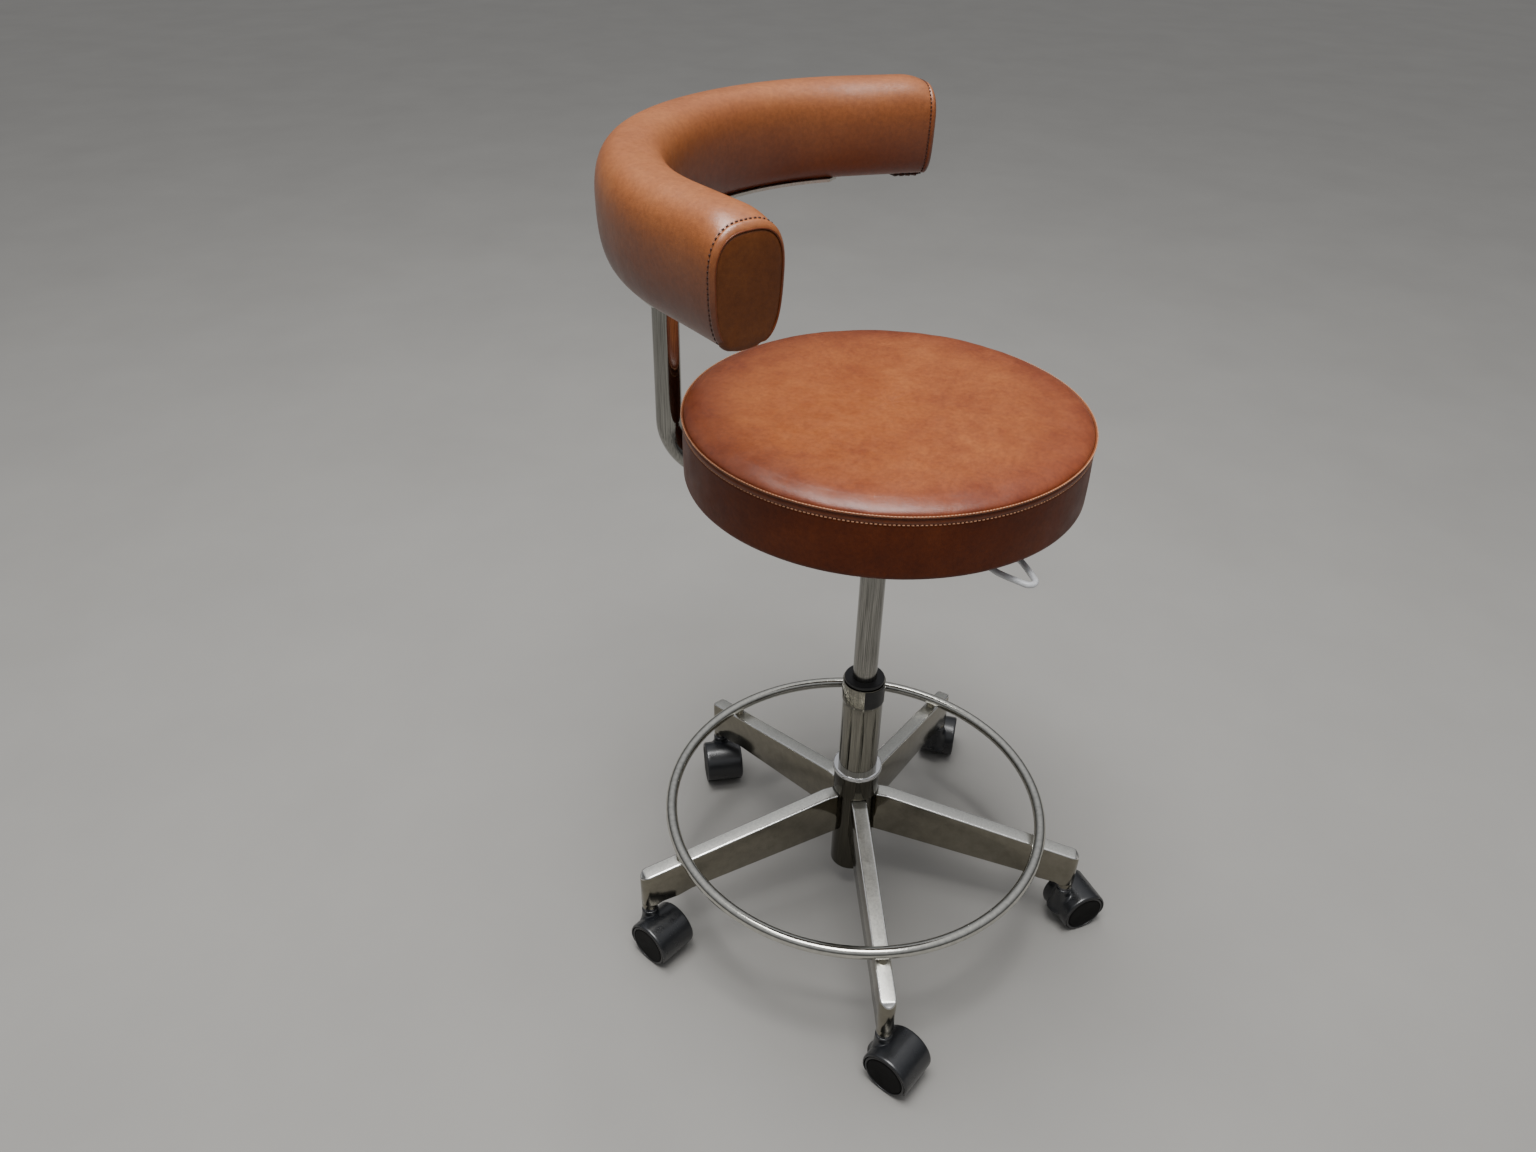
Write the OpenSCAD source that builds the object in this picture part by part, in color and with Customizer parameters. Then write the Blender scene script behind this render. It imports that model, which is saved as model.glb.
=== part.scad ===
// Dental operator's stool: five-arm star base on twin-wheel casters, gas column with a foot ring,
// round upholstered seat and a curved body support that swings around the seat.
// Origin: on the floor, at the middle of the stool's outline. +Z is up, and the body support
// stands on the +Y side. Every sub-part is drawn around the column's axis, which on_axis() places.

/* [Seat] */
// Diameter of the seat at its welt
seat_d = 402; // [360:1:430]
// Height of the seat's top above the floor, at the modelled lift
seat_top_z = 687; // [670:1:700]
// Thickness of the whole seat, from its lower hem to its top
seat_t = 74; // [66:1:80]
// Radius of the welt's cord
welt_r = 2; // [1.5:0.1:2.5]

/* [Body support] */
// Distance of the stem from the column's axis
stem_reach = 235.5; // [225:0.5:250]
// Diameter of the stem's tube
stem_d = 28; // [25:0.5:30]
// Radius of the stem's bend, at the tube's centre
stem_bend = 46; // [40:1:55]
// Radius of the pad's curve, at the pad's middle
pad_bend = 260; // [240:1:280]
// Half of the angle that the pad's curve covers
pad_half_angle = 56; // [48:1:62]
// Length of each straight end of the pad
pad_leg = 90; // [60:1:110]
// Height of the pad's middle above the floor
pad_z = 888; // [870:1:900]
// Height of the pad's section
pad_h = 98; // [88:1:108]
// Thickness of the pad's section
pad_w = 65; // [58:1:72]

/* [Column] */
// Diameter of the column's outer tube
column_d = 47; // [46:0.5:49]
// Height of the top of the column's outer tube
column_top_z = 337; // [330:1:345]
// Diameter of the gas cylinder
gas_d = 28; // [27:0.1:28]

/* [Base] */
// Distance from the column's axis to the end of each arm
arm_reach = 281; // [270:1:300]
// Width of each arm
arm_w = 19; // [18:0.5:22]
// Height of each arm's top at the hub
arm_hub_z = 167; // [160:1:175]
// Height of each arm's top at its outer end
arm_end_z = 119; // [112:1:125]
// Direction of the first arm, anticlockwise from +X
arm_turn = 204.1; // [180:0.1:252]
// Diameter of the foot ring, at the tube's centre
ring_d = 456.6; // [440:0.2:470]
// Diameter of the foot ring's tube
ring_tube_d = 14; // [12:0.5:15]
// Height of the foot ring's middle above the floor
ring_z = 141.8; // [141:0.1:143]

/* [Casters] */
// Diameter of each caster wheel
wheel_d = 53; // [48:1:54]
// Distance from a caster's stem to its axle
caster_trail = 20; // [18:0.1:21]
// Direction in which each caster trails, anticlockwise from +X, from the first arm on
caster_turn = [250, 312, 6, 210, 248];

/* [Hidden] */
$fn = 96;

// Column's axis, set off so that the origin lies at the middle of the stool's outline
axis_x = -10;
axis_y = 25;

EPS = 0.01;               // lets a cutting shape pass through a face
RUN = 0.06;               // radial clearance of a running fit
GAP = 0.3;                // clearance between faces that turn past each other
ARM_COUNT = 5;
ARM_STEP = 360 / ARM_COUNT;

// Hub and column
hub_bottom_z = 43;
hub_top_z = 199;
hub_r = 25;
column_r = column_d / 2;
column_wall = 2;
column_bottom_z = 47;
column_floor = 4;
collar_r = 30;
collar_h = 7;
skirt_r = 27.5;           // sleeve between the collar's ring and the arms
skirt_z = 167.6;
cuff_h = 26;              // height of the thicker cuff at the column's mouth
cuff_r = column_r + 1.2;
cuff_bevel_h = 4;
bush_flange_h = 5;
bush_sleeve_h = 80;
label_h = 25;
label_t = 0.4;
label_sweep = 70;
label_start = 198;

// Gas spring
gas_r = gas_d / 2;
gas_wall = 1.5;
gas_bottom_z = 212.5;
gas_end_t = 9.5;
gas_taper_z = 552;
gas_top_z = 600;
gas_tip_r = 13;
gas_lid_t = 6;
rod_r = 5;
piston_z = 266;
piston_h = 12;
race_r = 11;
race_h = 5;
valve_r = 3;
valve_rise = 4.5;         // how far the valve's pin stands above the cylinder

// Seat
seat_r = seat_d / 2;
seat_bottom_z = seat_top_z - seat_t;
welt_z = seat_top_z - 9.4;
band_t = 3.8;
hem_t = 0.6;
band_hang = 2;            // how far the side band hangs below the board's cover
cover_t = 1.4;            // dust cover
board_t = 12;
board_r = seat_r - 8;
top_edge_r = 10;          // rounding of the seat's upper edge
crown = 1.2;
board_z = seat_bottom_z + hem_t + cover_t;
foam_z = board_z + board_t;
top_z = welt_z - 1.2;

// Seat mechanism
plate_w = 130;
plate_t = 4;
plate_z = board_z - plate_t;
plate_hole = 50;          // half of the screw spacing
plate_screw_r = 4;
cover_hole_r = 95;
socket_z = 560;
socket_r = 20;
shoulder_z = 592.5;
shoulder_r = 26;
chamber_r = 10;
slot_w = 15;

// Release lever
lever_turn = 236.7;
lever_pivot = 48;
lever_z = 602;
lever_tip = 212;
lever_slope = 5.2;
lever_half = 14;
wire_r = 3;
lever_foot = 5.3;          // half of the distance between the legs at the pivot
barrel_r = 5.5;
barrel_w = 18;
pin_r = 3;
cheek_t = 3;
tongue_t = 3;
tongue_w = 12;

// Body support
stem_r = stem_d / 2;
stem_wall = 2;
stem_z = 579;
swing_r = 32;
swing_z = 566;
swing_h = 26;
pad_centre_y = stem_reach - pad_bend;
pad_bottom_cut = 2;       // flat underside, where the plate bears
bracket_t = 3;
bracket_w = 37;
bracket_in = 3;            // the plate's middle lies this far inside the pad's curve
bracket_half_angle = 54;
bracket_corner = 16;      // side of the square that clips each corner
bracket_z = pad_z - pad_h / 2 + pad_bottom_cut - bracket_t;
back_screw_r = 3;
back_screw_angles = [-42, -14, 14, 42];
core_w = 16;
core_h = 62;
cap_t = 3;
cap_inset = 1.5;
end_round = 11;           // rounding of the pad's upper end corners
strip_w = 24;
strip_t = 4.5;
strip_len = 36;
strip_end = 3.5;          // from the strip to the end of the pad

// Arms and foot ring
arm_wall = 2;
arm_level_r = 40;         // an arm's top is level up to here
arm_hub_low_z = 110;
arm_end_low_z = 74;
arm_edge_r = 1.5;
socket_back = 10.5;       // from the arm's end back to the caster's stem
nose_r = arm_w / 2 - 0.1;
nose_z = 64;
nose_bore_h = 36;
caster_stem_r = 5.5;
caster_reach = arm_reach - socket_back;
ring_r = ring_d / 2;
ring_tube_r = ring_tube_d / 2;
ring_wall = 1.5;
saddle_r = 6;
ring_screw_r = 2.5;

// Casters
wheel_r = wheel_d / 2;
hood_r = wheel_r + 3;
hood_w = 50;
hood_clear = 0.9;
web_w = 13;
hood_skirt_z = 10;
boss_r = 9;
boss_top_z = 60.2;
caster_bore_z = 40;
caster_flange_h = 3.4;
axle_r = 3;
axle_len = 45;
wheel_gap = 0.6;
wheel_t = (hood_w - web_w) / 2 - wheel_gap - 0.4;
tread_edge_r = 2.5;

// ---- Shared shapes ----

module on_axis() {
    translate([axis_x, axis_y, 0])
        children();
}

// A tube between two heights
module tube(outer, inner, z0, z1) {
    difference() {
        translate([0, 0, z0])
            cylinder(r = outer, h = z1 - z0);
        translate([0, 0, z0 - EPS])
            cylinder(r = inner, h = z1 - z0 + 2 * EPS);
    }
}

// A ring whose outer edges are rounded
module soft_ring(outer, inner, z0, h, edge) {
    translate([0, 0, z0])
        rotate_extrude()
            difference() {
                union() {
                    translate([inner, 0])
                        square([outer - edge - inner, h]);
                    translate([inner, edge])
                        square([outer - inner, h - 2 * edge]);
                    translate([outer - edge, edge])
                        circle(r = edge, $fn = 32);
                    translate([outer - edge, h - edge])
                        circle(r = edge, $fn = 32);
                }
                translate([-outer, -EPS])
                    square([outer, h + 2 * EPS]);
            }
}

// ---- Base ----

function arm_angle(i) = arm_turn + (i - 1) * ARM_STEP;
function arm_top_at(x) =
    arm_hub_z + (arm_end_z - arm_hub_z) * (x - arm_level_r) / (arm_reach - arm_level_r);

// Side outline of an arm, drawn in from the outside by t
module arm_outline(t = 0) {
    polygon([
        [hub_r * 0.6, arm_hub_z - t],
        [arm_level_r, arm_hub_z - t],
        [arm_reach - 4 - t, arm_end_z + 0.8 - t],
        [arm_reach - t, arm_end_z - 3.5 - t],
        [arm_reach - 2 - t, nose_z + 8 + t],
        [arm_reach - 17, arm_end_low_z - 4 + t],
        [arm_reach - 25, arm_end_low_z + t],
        [arm_reach - 45, arm_end_low_z + 2 + t],
        [arm_reach - 62, arm_end_low_z + 8 + t],
        [hub_r * 0.6, arm_hub_low_z + t]]);
}

// An arm's plan: straight sides and a round nose, drawn in from the outside by t
module arm_plan(t = 0) {
    translate([0, -arm_w / 2 + t])
        square([caster_reach, arm_w - 2 * t]);
    translate([caster_reach, 0])
        circle(r = arm_w / 2 - t, $fn = 64);
}

module arm_solid(t = 0) {
    intersection() {
        rotate([90, 0, 0])
            translate([0, 0, -arm_w])
                linear_extrude(height = 2 * arm_w)
                    arm_outline(t);
        linear_extrude(height = 2 * arm_hub_z)
            arm_plan(t);
    }
}

// Bevels along both upper edges of an arm
module arm_bevels() {
    slope = atan2(arm_end_z - arm_hub_z, arm_reach - arm_level_r);
    for (side = [-1, 1])
        translate([arm_level_r, side * arm_w / 2, arm_hub_z])
            rotate([0, -slope, 0])
                rotate([45, 0, 0])
                    translate([0, -arm_edge_r * 0.8, -arm_edge_r * 0.8])
                        cube([arm_reach, arm_edge_r * 1.6, arm_edge_r * 1.6]);
}

module arm(i) {
    color("silver") on_axis()
        rotate([0, 0, arm_angle(i)])
            difference() {
                union() {
                    difference() {
                        arm_solid();
                        arm_solid(arm_wall);
                    }
                    translate([caster_reach, 0, nose_z])
                        cylinder(r = nose_r, h = nose_bore_h + 4, $fn = 64);
                }
                arm_bevels();
                cylinder(r = hub_r, h = 2 * arm_hub_z);
                translate([caster_reach, 0, nose_z - EPS])
                    cylinder(r = caster_stem_r, h = nose_bore_h, $fn = 64);
                translate([ring_r, 0, arm_top_at(ring_r) - 8])
                    cylinder(r = ring_screw_r, h = 16, $fn = 32);
            }
}

module hub_tube() {
    color("silver") on_axis()
        tube(hub_r, column_r, hub_bottom_z, hub_top_z);
}

module collar_ring() {
    color("gainsboro") on_axis() {
        soft_ring(collar_r, column_r, hub_top_z, collar_h, 2.5);
        tube(skirt_r, hub_r, skirt_z, hub_top_z);
    }
}

module column_tube() {
    inner = column_r - column_wall;
    color("silver") on_axis()
        difference() {
            union() {
                translate([0, 0, column_bottom_z])
                    cylinder(r = column_r, h = column_top_z - column_bottom_z);
                translate([0, 0, column_top_z - cuff_h])
                    cylinder(r = cuff_r, h = cuff_h);
                translate([0, 0, column_top_z - cuff_h - cuff_bevel_h])
                    cylinder(r1 = column_r, r2 = cuff_r, h = cuff_bevel_h);
            }
            translate([0, 0, column_bottom_z + column_floor])
                cylinder(r = inner, h = column_top_z);
            translate([0, 0, column_bottom_z - EPS])
                cylinder(r = rod_r + RUN, h = column_floor + 2 * EPS);
        }
}

module guide_bush() {
    color("black") on_axis() {
        difference() {
            union() {
                soft_ring(column_r - 0.4, gas_r + RUN, column_top_z, bush_flange_h, 1.5);
                tube(column_r - column_wall, gas_r + RUN, column_top_z - bush_sleeve_h, column_top_z);
            }
            translate([0, 0, column_top_z - bush_sleeve_h - EPS])
                cylinder(r = gas_r + RUN, h = bush_sleeve_h + bush_flange_h + 2 * EPS);
        }
    }
}

module column_label() {
    color("dimgray") on_axis()
        rotate([0, 0, label_start])
            translate([0, 0, column_top_z - label_h - 1])
                rotate_extrude(angle = label_sweep)
                    translate([cuff_r, 0])
                        square([label_t, label_h]);
}

module foot_ring() {
    color("gainsboro") on_axis()
        difference() {
            translate([0, 0, ring_z])
                rotate_extrude()
                    translate([ring_r, 0])
                        difference() {
                            circle(r = ring_tube_r, $fn = 48);
                            circle(r = ring_tube_r - ring_wall, $fn = 48);
                        }
            for (i = [1 : ARM_COUNT])
                rotate([0, 0, arm_angle(i)])
                    translate([ring_r, 0, ring_z - ring_tube_r - 1])
                        cylinder(r = ring_screw_r, h = ring_tube_r, $fn = 32);
        }
}

module ring_saddles() {
    color("silver") on_axis()
        for (i = [1 : ARM_COUNT])
            rotate([0, 0, arm_angle(i)])
                difference() {
                    translate([ring_r, 0, ring_z - 16])
                        cylinder(r = saddle_r, h = 12, $fn = 48);
                    translate([0, 0, ring_z])
                        rotate_extrude()
                            translate([ring_r, 0])
                                circle(r = ring_tube_r, $fn = 48);
                    arm_solid();
                    translate([ring_r, 0, ring_z - 20])
                        cylinder(r = ring_screw_r, h = 30, $fn = 32);
                }
}

module ring_screws() {
    head_z = arm_top_at(ring_r) - arm_wall - 5.2;
    color("dimgray") on_axis()
        for (i = [1 : ARM_COUNT])
            rotate([0, 0, arm_angle(i)])
                translate([ring_r, 0, head_z]) {
                    cylinder(r = 4.5, h = 4, $fn = 32);
                    cylinder(r = ring_screw_r, h = ring_z - ring_tube_r + 3 - head_z, $fn = 32);
                }
}

module caster_stems() {
    color("dimgray") on_axis()
        for (i = [1 : ARM_COUNT])
            rotate([0, 0, arm_angle(i)])
                translate([caster_reach, 0, 0]) {
                    translate([0, 0, caster_bore_z + 1])
                        cylinder(r = caster_stem_r, h = nose_z + nose_bore_h - caster_bore_z - 3);
                    translate([0, 0, nose_z - caster_flange_h])
                        cylinder(r = nose_r - 1, h = caster_flange_h);
                }
}

// ---- Gas column ----

module thrust_bearing() {
    color("gray") on_axis()
        tube(race_r, rod_r + 1, column_bottom_z + column_floor, column_bottom_z + column_floor + race_h);
}

module piston_rod() {
    shoulder_bottom = column_bottom_z + column_floor + race_h + GAP / 3;
    color("gainsboro") on_axis() {
        translate([0, 0, hub_bottom_z + 1])
            cylinder(r = rod_r, h = piston_z + piston_h - hub_bottom_z - 1);
        translate([0, 0, shoulder_bottom])
            cylinder(r = race_r - 1, h = 4);
        translate([0, 0, piston_z])
            cylinder(r = gas_r - gas_wall - RUN, h = piston_h);
    }
}

module rod_clip() {
    color("dimgray") on_axis()
        tube(rod_r + 4, rod_r, column_bottom_z - 2 - GAP / 3, column_bottom_z - GAP / 3);
}

module gas_cylinder() {
    color("lightgray") on_axis()
        difference() {
            rotate_extrude()
                polygon([
                    [0, gas_bottom_z], [gas_r, gas_bottom_z], [gas_r, gas_taper_z],
                    [gas_tip_r, gas_top_z], [0, gas_top_z]]);
            rotate_extrude()
                polygon([
                    [0, gas_bottom_z + gas_end_t],
                    [gas_r - gas_wall, gas_bottom_z + gas_end_t],
                    [gas_r - gas_wall, gas_taper_z],
                    [gas_tip_r - gas_wall, gas_top_z - gas_lid_t],
                    [0, gas_top_z - gas_lid_t]]);
            translate([0, 0, gas_bottom_z - EPS])
                cylinder(r = rod_r + RUN, h = gas_end_t + 2 * EPS);
            translate([0, 0, gas_top_z - gas_lid_t - EPS])
                cylinder(r = valve_r + RUN, h = gas_lid_t + 2 * EPS);
        }
}

module valve_pin() {
    color("white") on_axis() {
        translate([0, 0, gas_top_z - gas_lid_t - 4])
            cylinder(r = valve_r, h = gas_lid_t + 4 + valve_rise, $fn = 48);
        translate([0, 0, gas_top_z - gas_lid_t - 3])
            cylinder(r = valve_r + 2, h = 2.5, $fn = 48);
    }
}

// ---- Seat mechanism ----

function taper_r(z) =
    gas_r + (gas_tip_r - gas_r) * (z - gas_taper_z) / (gas_top_z - gas_taper_z);

module taper_socket() {
    color("dimgray") on_axis()
        difference() {
            union() {
                translate([0, 0, socket_z])
                    cylinder(r = socket_r, h = plate_z - socket_z);
                translate([0, 0, shoulder_z])
                    cylinder(r = shoulder_r, h = plate_z - shoulder_z);
            }
            rotate_extrude()
                polygon([
                    [0, socket_z - 1], [taper_r(socket_z - 1), socket_z - 1],
                    [taper_r(gas_top_z), gas_top_z], [0, gas_top_z]]);
            translate([0, 0, gas_top_z - EPS])
                cylinder(r = chamber_r, h = plate_z - gas_top_z + 2 * EPS);
            rotate([0, 0, lever_turn])
                translate([0, -slot_w / 2, gas_top_z])
                    cube([shoulder_r + 1, slot_w, plate_z - gas_top_z + EPS]);
        }
}

module swing_clip() {
    color("gray") on_axis()
        tube(socket_r + 5, socket_r, swing_z - GAP - 2.5, swing_z - GAP);
}

module mount_plate() {
    cheek_y = barrel_w / 2 + GAP;
    color("dimgray") on_axis()
        difference() {
            union() {
                translate([-plate_w / 2, -plate_w / 2, plate_z])
                    cube([plate_w, plate_w, plate_t]);
                rotate([0, 0, lever_turn])
                    for (side = [-1, 1])
                        translate([lever_pivot, side * (cheek_y + cheek_t / 2), 0])
                            translate([-8, -cheek_t / 2, lever_z - 6])
                                cube([16, cheek_t, plate_z - lever_z + 6 + EPS]);
            }
            for (x = [-1, 1], y = [-1, 1])
                translate([x * plate_hole, y * plate_hole, plate_z - EPS])
                    cylinder(r = plate_screw_r, h = plate_t + 2 * EPS, $fn = 48);
            rotate([0, 0, lever_turn])
                translate([lever_pivot, 0, lever_z])
                    rotate([90, 0, 0])
                        translate([0, 0, -barrel_w])
                            cylinder(r = pin_r, h = 2 * barrel_w, $fn = 48);
        }
}

module plate_screws() {
    color("gray") on_axis()
        for (x = [-1, 1], y = [-1, 1])
            translate([x * plate_hole, y * plate_hole, 0]) {
                translate([0, 0, plate_z - 5])
                    cylinder(r = 6.5, h = 5, $fn = 6);
                translate([0, 0, plate_z - 1])
                    cylinder(r = plate_screw_r, h = plate_t + board_t, $fn = 48);
            }
}

module lever_pin() {
    half = barrel_w / 2 + GAP + cheek_t + 1.5;
    color("gainsboro") on_axis()
        rotate([0, 0, lever_turn])
            translate([lever_pivot, 0, lever_z])
                rotate([90, 0, 0]) {
                    translate([0, 0, -half])
                        cylinder(r = pin_r, h = 2 * half, $fn = 48);
                    translate([0, 0, half - 1.5])
                        cylinder(r = pin_r + 1.5, h = 1.5, $fn = 48);
                    translate([0, 0, -half])
                        cylinder(r = pin_r + 1.5, h = 1.5, $fn = 48);
                }
}

// Bent-wire handle, drawn flat along +X from the pivot: two legs that run into a round loop
module lever_wire() {
    loop_x = lever_tip - lever_pivot - lever_half - wire_r;
    reach = norm([loop_x - 2, lever_foot]);
    spread = asin(lever_half / reach) - atan2(lever_foot, loop_x - 2);
    translate([loop_x, 0, 0]) {
        for (side = [-1, 1])
            rotate([0, 0, side * spread])
                translate([0, side * lever_half, 0])
                    rotate([0, -90, 0])
                        cylinder(r = wire_r, h = sqrt(reach * reach - lever_half * lever_half), $fn = 32);
        rotate([0, 0, -90 - spread])
            rotate_extrude(angle = 180 + 2 * spread)
                translate([lever_half, 0])
                    circle(r = wire_r, $fn = 32);
    }
}

module release_lever() {
    tongue_z = gas_top_z + valve_rise + 0.1;
    color("lightgray") on_axis()
        rotate([0, 0, lever_turn])
            difference() {
                union() {
                    translate([lever_pivot, 0, lever_z]) {
                        rotate([90, 0, 0])
                            translate([0, 0, -barrel_w / 2])
                                cylinder(r = barrel_r, h = barrel_w, $fn = 64);
                        rotate([0, lever_slope, 0])
                            lever_wire();
                    }
                    translate([-4, -tongue_w / 2, tongue_z])
                        cube([lever_pivot + 4, tongue_w, tongue_t]);
                }
                translate([lever_pivot, 0, lever_z])
                    rotate([90, 0, 0])
                        translate([0, 0, -barrel_w])
                            cylinder(r = pin_r + RUN, h = 2 * barrel_w, $fn = 64);
            }
}

// ---- Seat ----

module seat_board() {
    color("burlywood") on_axis()
        difference() {
            translate([0, 0, board_z])
                cylinder(r = board_r, h = board_t);
            for (x = [-1, 1], y = [-1, 1])
                translate([x * plate_hole, y * plate_hole, board_z - EPS])
                    cylinder(r = plate_screw_r, h = board_t + 2 * EPS, $fn = 48);
        }
}

module seat_foam() {
    color("khaki") on_axis()
        translate([0, 0, foam_z])
            cylinder(r = seat_r - band_t - 0.2, h = top_z - foam_z);
}

module seat_top() {
    edge_z = seat_top_z - crown - top_edge_r;
    color("sienna") on_axis()
        rotate_extrude()
            polygon(concat(
                [[0, top_z], [seat_r - 1, top_z]],
                [for (a = [10 : 10 : 90])
                    [seat_r - 1 - top_edge_r + top_edge_r * cos(a),
                        max(top_z, edge_z + top_edge_r * sin(a))]],
                [[seat_r * 0.6, seat_top_z], [0, seat_top_z]]));
}

module seat_band() {
    color("sienna") on_axis()
        tube(seat_r, seat_r - band_t, seat_bottom_z - band_hang, top_z);
}

module seat_welt() {
    color("peru") on_axis()
        translate([0, 0, welt_z])
            rotate_extrude()
                difference() {
                    translate([seat_r, 0])
                        circle(r = welt_r, $fn = 32);
                    translate([seat_r - welt_r - 1, top_z - welt_z])
                        square([welt_r, 10]);
                    translate([seat_r - welt_r - 1, -10])
                        square([welt_r + 1, 10 + top_z - welt_z]);
                }
}

module dust_cover() {
    color("black") on_axis()
        tube(seat_r - band_t - 0.2, cover_hole_r, seat_bottom_z + hem_t, board_z);
}

// ---- Body support ----

module swing_collar() {
    color("gainsboro") on_axis()
        tube(swing_r, socket_r + RUN, swing_z, swing_z + swing_h);
}

module stem_tube() {
    run_end = stem_reach - stem_bend;
    rise_z = stem_z + stem_bend;
    color("gainsboro") on_axis()
        difference() {
            union() {
                translate([0, run_end, stem_z])
                    rotate([90, 0, 0])
                        tube(stem_r, stem_r - stem_wall, 0, run_end - 15);
                translate([0, run_end, rise_z])
                    rotate([90, 0, 90])
                        rotate([0, 0, -90])
                            rotate_extrude(angle = 90)
                                translate([stem_bend, 0])
                                    difference() {
                                        circle(r = stem_r);
                                        circle(r = stem_r - stem_wall);
                                    }
                translate([0, stem_reach, 0])
                    tube(stem_r, stem_r - stem_wall, rise_z, bracket_z);
            }
            cylinder(r = swing_r, h = 2 * stem_z);
        }
}

// Places children on the pad's curve, in its radial direction: +X outwards, +Y along the curve
module on_pad_curve(angle) {
    translate([0, pad_centre_y, 0])
        rotate([0, 0, 90 + angle])
            translate([pad_bend, 0, 0])
                children();
}

module back_screw_holes(z0, z1) {
    for (a = back_screw_angles)
        on_pad_curve(a)
            translate([0, 0, z0])
                cylinder(r = back_screw_r, h = z1 - z0, $fn = 48);
}

module back_bracket() {
    color("gray") on_axis()
        difference() {
            translate([0, pad_centre_y, bracket_z])
                rotate([0, 0, 90 - bracket_half_angle])
                    rotate_extrude(angle = 2 * bracket_half_angle)
                        translate([pad_bend - bracket_in - bracket_w / 2, 0])
                            square([bracket_w, bracket_t]);
            for (side = [-1, 1], edge = [-1, 1])
                on_pad_curve(side * bracket_half_angle)
                    translate([edge * bracket_w / 2 - bracket_in, 0, bracket_z - 1])
                        rotate([0, 0, 45])
                            translate([-bracket_corner / 2, -bracket_corner / 2, 0])
                                cube([bracket_corner, bracket_corner, bracket_t + 2]);
            back_screw_holes(bracket_z - EPS, bracket_z + bracket_t + EPS);
        }
}

module bracket_screws() {
    color("dimgray") on_axis()
        for (a = back_screw_angles)
            on_pad_curve(a) {
                translate([0, 0, bracket_z - 3])
                    cylinder(r = 5.5, h = 3, $fn = 48);
                translate([0, 0, bracket_z - 1])
                    cylinder(r = back_screw_r, h = 27, $fn = 48);
            }
}

// Half-width of the pad's section at a point t degrees around it
PAD_ROUND = 2.8;          // 2 is an ellipse, and more is squarer
PAD_TAPER = 0.1;          // how much narrower the section is at its bottom
function power(v, n) = sign(v) * pow(abs(v), 2 / n);
function pad_point(t, inset) =
    let (h = pad_h / 2 - inset, w = pad_w / 2 - inset, rise = power(sin(t), PAD_ROUND))
    let (low = (1 - rise) / 2)
    [w * power(cos(t), PAD_ROUND) * (1 - PAD_TAPER * pow(low, 1.5)), h * rise];

module pad_section(inset = 0) {
    intersection() {
        polygon([for (t = [0 : 7.5 : 352.5]) pad_point(t, inset)]);
        translate([-pad_w, -pad_h / 2 + pad_bottom_cut + inset])
            square([2 * pad_w, 2 * pad_h]);
    }
}

module core_section() {
    translate([-core_w / 2, -core_h / 2])
        square([core_w, core_h]);
}

// Sweeps a section along the pad's curve
module pad_arc() {
    translate([0, pad_centre_y, pad_z])
        rotate([0, 0, 90 - pad_half_angle])
            rotate_extrude(angle = 2 * pad_half_angle, $fn = 128)
                translate([pad_bend, 0])
                    children();
}

// Sweeps a section along a straight end, from y0 to y1 past the curve; side is -1 or 1
module pad_leg_run(side, y0, y1) {
    mirror([side > 0 ? 0 : 1, 0, 0])
        on_pad_curve(pad_half_angle)
            translate([0, y1, pad_z])
                rotate([90, 0, 0])
                    linear_extrude(height = y1 - y0)
                        children();
}

// Side outline of a straight end, which rounds its upper corner
module pad_end_round(side) {
    mirror([side > 0 ? 0 : 1, 0, 0])
        on_pad_curve(pad_half_angle)
            translate([-pad_w, 0, pad_z])
                rotate([90, 0, 90])
                    linear_extrude(height = 2 * pad_w) {
                        translate([-10, -pad_h])
                            square([pad_leg + 10, 1.5 * pad_h - end_round]);
                        translate([-10, -pad_h])
                            square([pad_leg + 10 - end_round, 1.5 * pad_h]);
                        translate([pad_leg - end_round, pad_h / 2 - end_round])
                            circle(r = end_round, $fn = 64);
                    }
}

module back_core() {
    color("burlywood") on_axis()
        difference() {
            union() {
                pad_arc()
                    core_section();
                for (side = [-1, 1])
                    pad_leg_run(side, 0, pad_leg - end_round)
                        core_section();
            }
            back_screw_holes(bracket_z + bracket_t, bracket_z + 26);
        }
}

module back_pad() {
    color("chocolate") on_axis()
        difference() {
            union() {
                pad_arc()
                    pad_section();
                for (side = [-1, 1])
                    intersection() {
                        pad_leg_run(side, 0, pad_leg - cap_t)
                            pad_section();
                        pad_end_round(side);
                    }
            }
            pad_arc()
                core_section();
            for (side = [-1, 1])
                pad_leg_run(side, 0, pad_leg - end_round)
                    core_section();
            back_screw_holes(bracket_z + bracket_t - 1, pad_z - core_h / 2 + EPS);
        }
}

module back_cap(side) {
    color("sienna") on_axis()
        intersection() {
            pad_leg_run(side, pad_leg - cap_t, pad_leg)
                pad_section(cap_inset);
            pad_end_round(side);
        }
}

module back_strips() {
    color("saddlebrown") on_axis()
        for (side = [-1, 1])
            pad_leg_run(side, pad_leg - strip_end - strip_len, pad_leg - strip_end)
                translate([-strip_w / 2, -pad_h / 2 + pad_bottom_cut - strip_t])
                    square([strip_w, strip_t]);
}

// ---- Casters ----

// Places children at a caster: +Z is its stem's axis and +X is the way it trails
module at_caster(i) {
    on_axis()
        rotate([0, 0, arm_angle(i)])
            translate([caster_reach, 0, 0])
                rotate([0, 0, caster_turn[i - 1] - arm_angle(i)])
                    children();
}

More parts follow.
